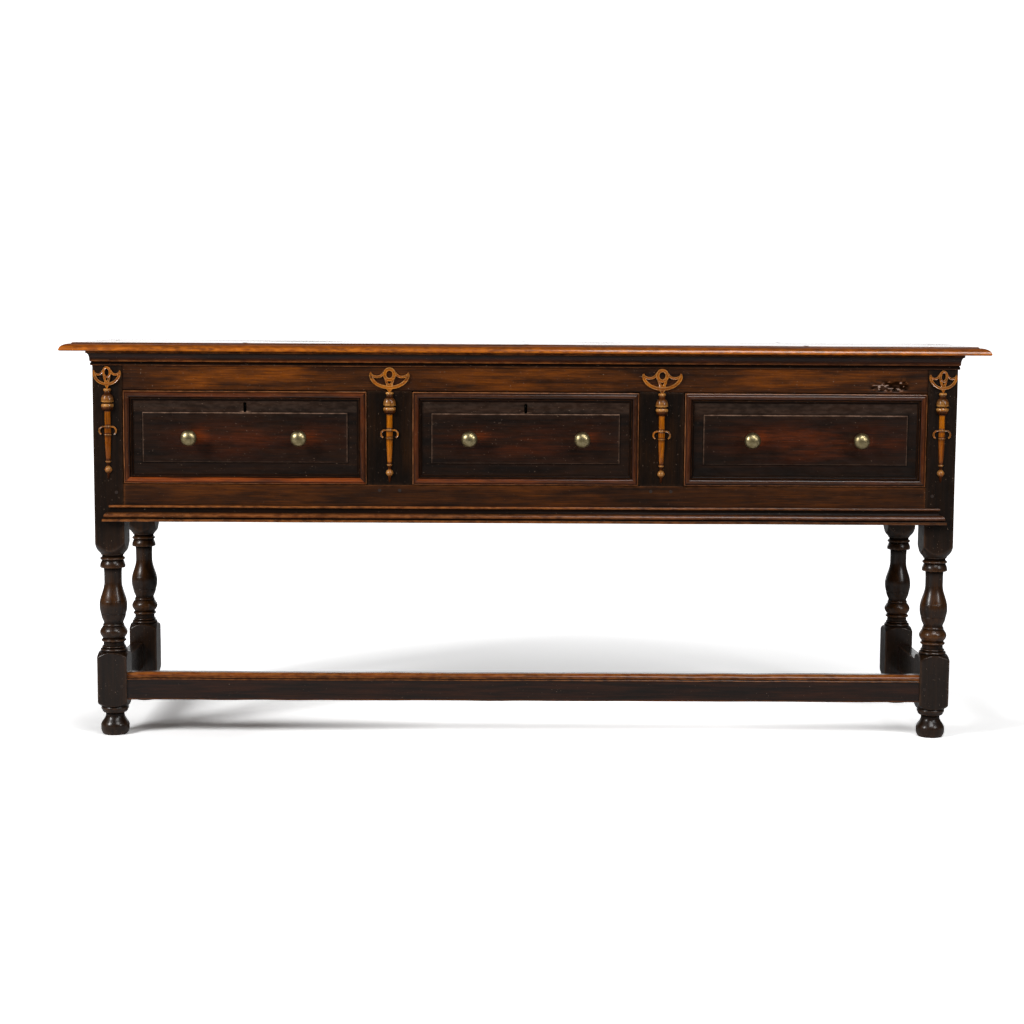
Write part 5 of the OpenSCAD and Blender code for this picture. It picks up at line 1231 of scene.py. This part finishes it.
# %% [markdown]
# The mounts are split turnings: a baluster is turned from two halves glued over paper, then parted, so that
# each half has a flat back. A fretted crest sits above it. The crest is cut from thin board, and its edges
# are rubbed pale and carry a painted highlight, so it is drawn as bands: an outline path, a width, and a
# section that stands highest just inside its edges. On the turning, the beads and lips carry painted
# highlights, and the necks, grooves and undersides of the lips painted shade.
# %% Mounts
BAND_ACROSS = np.array([-1, -0.93, -0.78, -0.45, 0, 0.45, 0.78, 0.93, 1])
BAND_RISE = np.array([0.55, 0.86, 1, 0.92, 0.86, 0.92, 1, 0.86, 0.55])
# Across a band: pale towards its edges, partly wear and partly a painted highlight.
BAND_WEAR_AND_HIGHLIGHT = np.array([0.3, 0.9, 0.7, 0.1, 0, 0.1, 0.7, 0.9, 0.3])
BAND_GLOW, SPINDLE_TALL, SPINDLE_COLUMNS = 0.8, 189, 25
RING_DOWN, RING_W, RING_H, CRESCENT_W, CRESCENT_H = 14.3, 9.9, 10.7, 39.0, 27.5
BROAD_HALF, NARROW_HALF = 3.6, 2.7
RING_T, CRESCENT_T, ARM_T, LEG_T, BOSS_T = 5.0, 4.8, 4.4, 4.6, 4.3
EARS_DOWN, EAR_R, EAR_HALF, EAR_T, EAR_OUT = 88, 8.2, 1.7, 4.0, 9.3


def bezier(points, count=16):
    """A Bezier curve: neighbours are mixed, (1 - t) p_i + t p_(i+1), until one point is left."""
    t = np.linspace(0, 1, count)[:, None, None]
    row = np.repeat(np.array(points, float)[None], count, axis=0)
    while row.shape[1] > 1:
        row = (1 - t) * row[:, :-1] + t * row[:, 1:]
    return row[:, 0]


def band(path, half, thick, place, loop=False):
    """A flat-backed band on the front plane: path + u half n, standing out by thick times the rise."""
    if loop:
        run = np.roll(path, -1, axis=0) - np.roll(path, 1, axis=0)
    else:
        run = np.gradient(path, axis=0)
    normal = np.column_stack([-run[:, 1], run[:, 0]]) / np.linalg.norm(run, axis=1, keepdims=True)
    reach = np.broadcast_to(half, len(path))[:, None] * BAND_ACROSS
    flat = path[:, None] + reach[..., None] * normal[:, None]
    x, z = place[0] + flat[..., 0], place[1] + flat[..., 1]
    rise = thick * BAND_RISE + 0 * x
    tones = np.zeros(x.shape + (3,))
    tones[..., 0] = BAND_WEAR_AND_HIGHLIGHT
    tones[..., 2] = BAND_GLOW
    front = np.stack([x, FRONT - rise, z], axis=-1)
    return slab(front, front * [1, 0, 1] + [0, FRONT, 0], tones, 0, loop)


def crest(x, top_z, wide, tall):
    """An oval ring on two legs, two arms and a crescent that carries them, with a boss below."""
    size = np.array([wide, tall])
    place = (x, top_z - RING_DOWN * tall)
    turn = np.arange(36) * 2 * np.pi / 36
    ring = np.column_stack([RING_W * np.cos(turn), RING_H * np.sin(turn)])
    sweep_angle = np.radians(np.linspace(-7, 187, 40))
    crescent = np.column_stack([-CRESCENT_W * np.cos(sweep_angle), 1 - CRESCENT_H * np.sin(sweep_angle)])
    tip = np.minimum(np.arange(40), np.arange(40)[::-1])
    crescent_half = BROAD_HALF * np.sqrt(np.clip((tip + 0.3) / 3.5, 0, 1))
    shells = [band(ring * size, BROAD_HALF * wide, RING_T, place, loop=True),
              band(crescent * size, crescent_half * wide ** 0.5, CRESCENT_T, place)]
    for s in (-1, 1):
        arm = bezier([(s * 11, 4), (s * 17, -6), (s * 28, -8), (s * 38.0, -1)])
        leg = bezier([(s * 8.5, -5), (s * 7.5, -13), (s * 3, -22)])
        for path, thick in ((arm, ARM_T), (leg, LEG_T)):
            shells.append(band(path * size, NARROW_HALF * wide ** 0.5, thick, place))
    boss = np.column_stack([np.zeros(14), np.linspace(-18, -37, 14)])
    boss_half = np.interp(boss[:, 1], [-37, -35, -29, -24, -18], [0.8, 2.2, 6.5, 8.6, 6.0])
    return shells + [band(boss * size, boss_half * wide, BOSS_T, place)]


def spindle_outline(top_z):
    """[z, r] of the split turning, from the drop at its foot up to the bead at its top."""
    foot = top_z - SPINDLE_TALL
    return np.concatenate([
        [[foot, 0], [foot, 0.8]], stretch(foot + 1, 1.2, foot + 11, 2.6, way="quarter", steps=5),
        stretch(foot + 12, 2.6, foot + 28, 2.6, 5, steps=14), [[foot + 29, 3.4], [foot + 33, 3.4]],
        stretch(foot + 34, 4, foot + 39, 4, 1.6), stretch(foot + 40, 4.2, top_z - 100, 6.4, 0.3, steps=10),
        stretch(top_z - 98, 6.4, top_z - 94.5, 6.4, 1.2, steps=6),
        stretch(top_z - 94, 6.7, top_z - 82, 6.7, steps=6),
        stretch(top_z - 81.5, 6.4, top_z - 78, 6.4, 1.2, steps=6),
        stretch(top_z - 76, 6.0, top_z - 47.5, 6.0, steps=14),
        stretch(top_z - 46.5, 6.6, top_z - 40, 12, way="quarter", steps=6),
        stretch(top_z - 40, 11.4, top_z - 32, 11.4, 1.6), [[top_z - 31, 9.5], [top_z - 29.5, 9.5]],
        arc((7.4, top_z - 28), (5.6, 15.0), 0, 90, 9)[:, ::-1], [[top_z - 12, 6.6], [top_z - 6.5, 6.6]],
        stretch(top_z - 6, 6.4, top_z - 0.5, 6.4, 1.8), [[top_z - 0.5, 0]]])


# Rows are depth below the top, worn, grime, glow: painted highlights with a little wear on the beads and
# lips, and dirt with painted shade in the necks, the grooves, under the lips and on the drop.
SPINDLE_TONES_AND_PAINTED_LIGHT = np.array([
    [0, 0.9, 0, 0.5], [5, 0.8, 0, 0.5], [7, 0, 0.9, 0], [12, 0, 0.8, 0], [14, 0.2, 0.6, 0],
    [19, 0.3, 0.4, 0.3],
    [22, 0.7, 0, 0.5], [23.5, 0.1, 0.6, 0.2], [27, 0.9, 0, 0.5], [29.3, 0.9, 0, 0.5], [30, 0, 1, 0],
    [31.8, 0, 1, 0], [32.5, 0.9, 0, 0.5], [37, 0.7, 0, 0.5], [40, 0, 0.6, 0.2], [46, 0, 0.95, 0],
    [49, 0, 0, 1], [75, 0, 0, 1], [76.5, 0, 0.9, 0], [79, 0.7, 0, 0.5], [82, 0, 0.7, 0.3], [85, 0, 0, 0.8],
    [92, 0, 0, 0.8], [94, 0, 0.7, 0.2], [96, 0.5, 0, 0.5], [99, 0, 0.8, 0], [101, 0, 0, 1], [146, 0, 0, 1],
    [149.5, 0, 0.8, 0], [152.5, 0.7, 0, 0.3], [156, 0, 0.9, 0], [160, 0, 0.8, 0], [164, 0.7, 0.1, 0.5],
    [171, 0.5, 0, 0.8], [177, 0, 0.7, 0.2], [180, 0, 0.85, 0], [189, 0, 0.9, 0]])


def split_spindle(x, top_z):
    """Half a turning, flat behind: (x + r sin a, front - r cos a, z), a from -90 to 90 degrees."""
    z, r = spindle_outline(top_z).T
    angle = np.radians(np.linspace(-90, 90, SPINDLE_COLUMNS))
    front = together(x + r[:, None] * np.sin(angle), FRONT - r[:, None] * np.cos(angle), z[:, None])
    tones = np.repeat(toned(top_z - z, SPINDLE_TONES_AND_PAINTED_LIGHT)[:, None], len(angle), axis=1)
    return slab(front, front * [1, 0, 1] + [0, FRONT, 0], tones, 2)


def ears(x, z):
    """Two scrolled ears that leave the collar's upper ring and curl outwards and down."""
    shells = []
    for s in (-1, 1):
        path = arc((0, 0), (EAR_R, EAR_R), 115, -62, 16) * [s, 1]
        half = EAR_HALF * np.interp(np.arange(17), [0, 3, 13, 16], [0.7, 1, 1, 0.8])
        shells.append(band(path, half, EAR_T, (x + s * EAR_OUT, z)))
    return shells


MOUNTS = {"stile_mount": (0.69, 0.93), "muntin_mount": (1.0, 1.03)}
for kind, (wide, tall) in MOUNTS.items():
    for hand in ("left", "right"):
        node = f"{kind}_{hand}"
        lo, hi = low(node), high(node)
        x, top_z = (lo[0] + hi[0]) / 2, lo[2] + SPINDLE_TALL
        shells = crest(x, hi[2], wide, tall) + [split_spindle(x, top_z)] + ears(x, top_z - EARS_DOWN)
        piece("split_turned_" + node, shells, "mount_wood", "carcass", node)
print("mounts:", list(MOUNTS))


# %% [markdown]
# Four kinds of CAD node keep their own mesh: pegs, nails, lock cases and lock bolts. They only need a
# finish. These read Object coordinates, because a CAD mesh has no grain of its own.
# %% Finish of the pegs, nails and locks
KEPT = {"oak_pegs": "oak_pegs", "runner_nails": "iron", "left_lock_case": "iron", "middle_lock_case": "iron",
        "left_lock_bolt": "iron", "middle_lock_bolt": "iron"}
for node, slot in KEPT.items():
    for holder in frame["nodes"][node].material_slots:
        holder.material = finishes[slot]
print("kept CAD nodes:", list(KEPT))
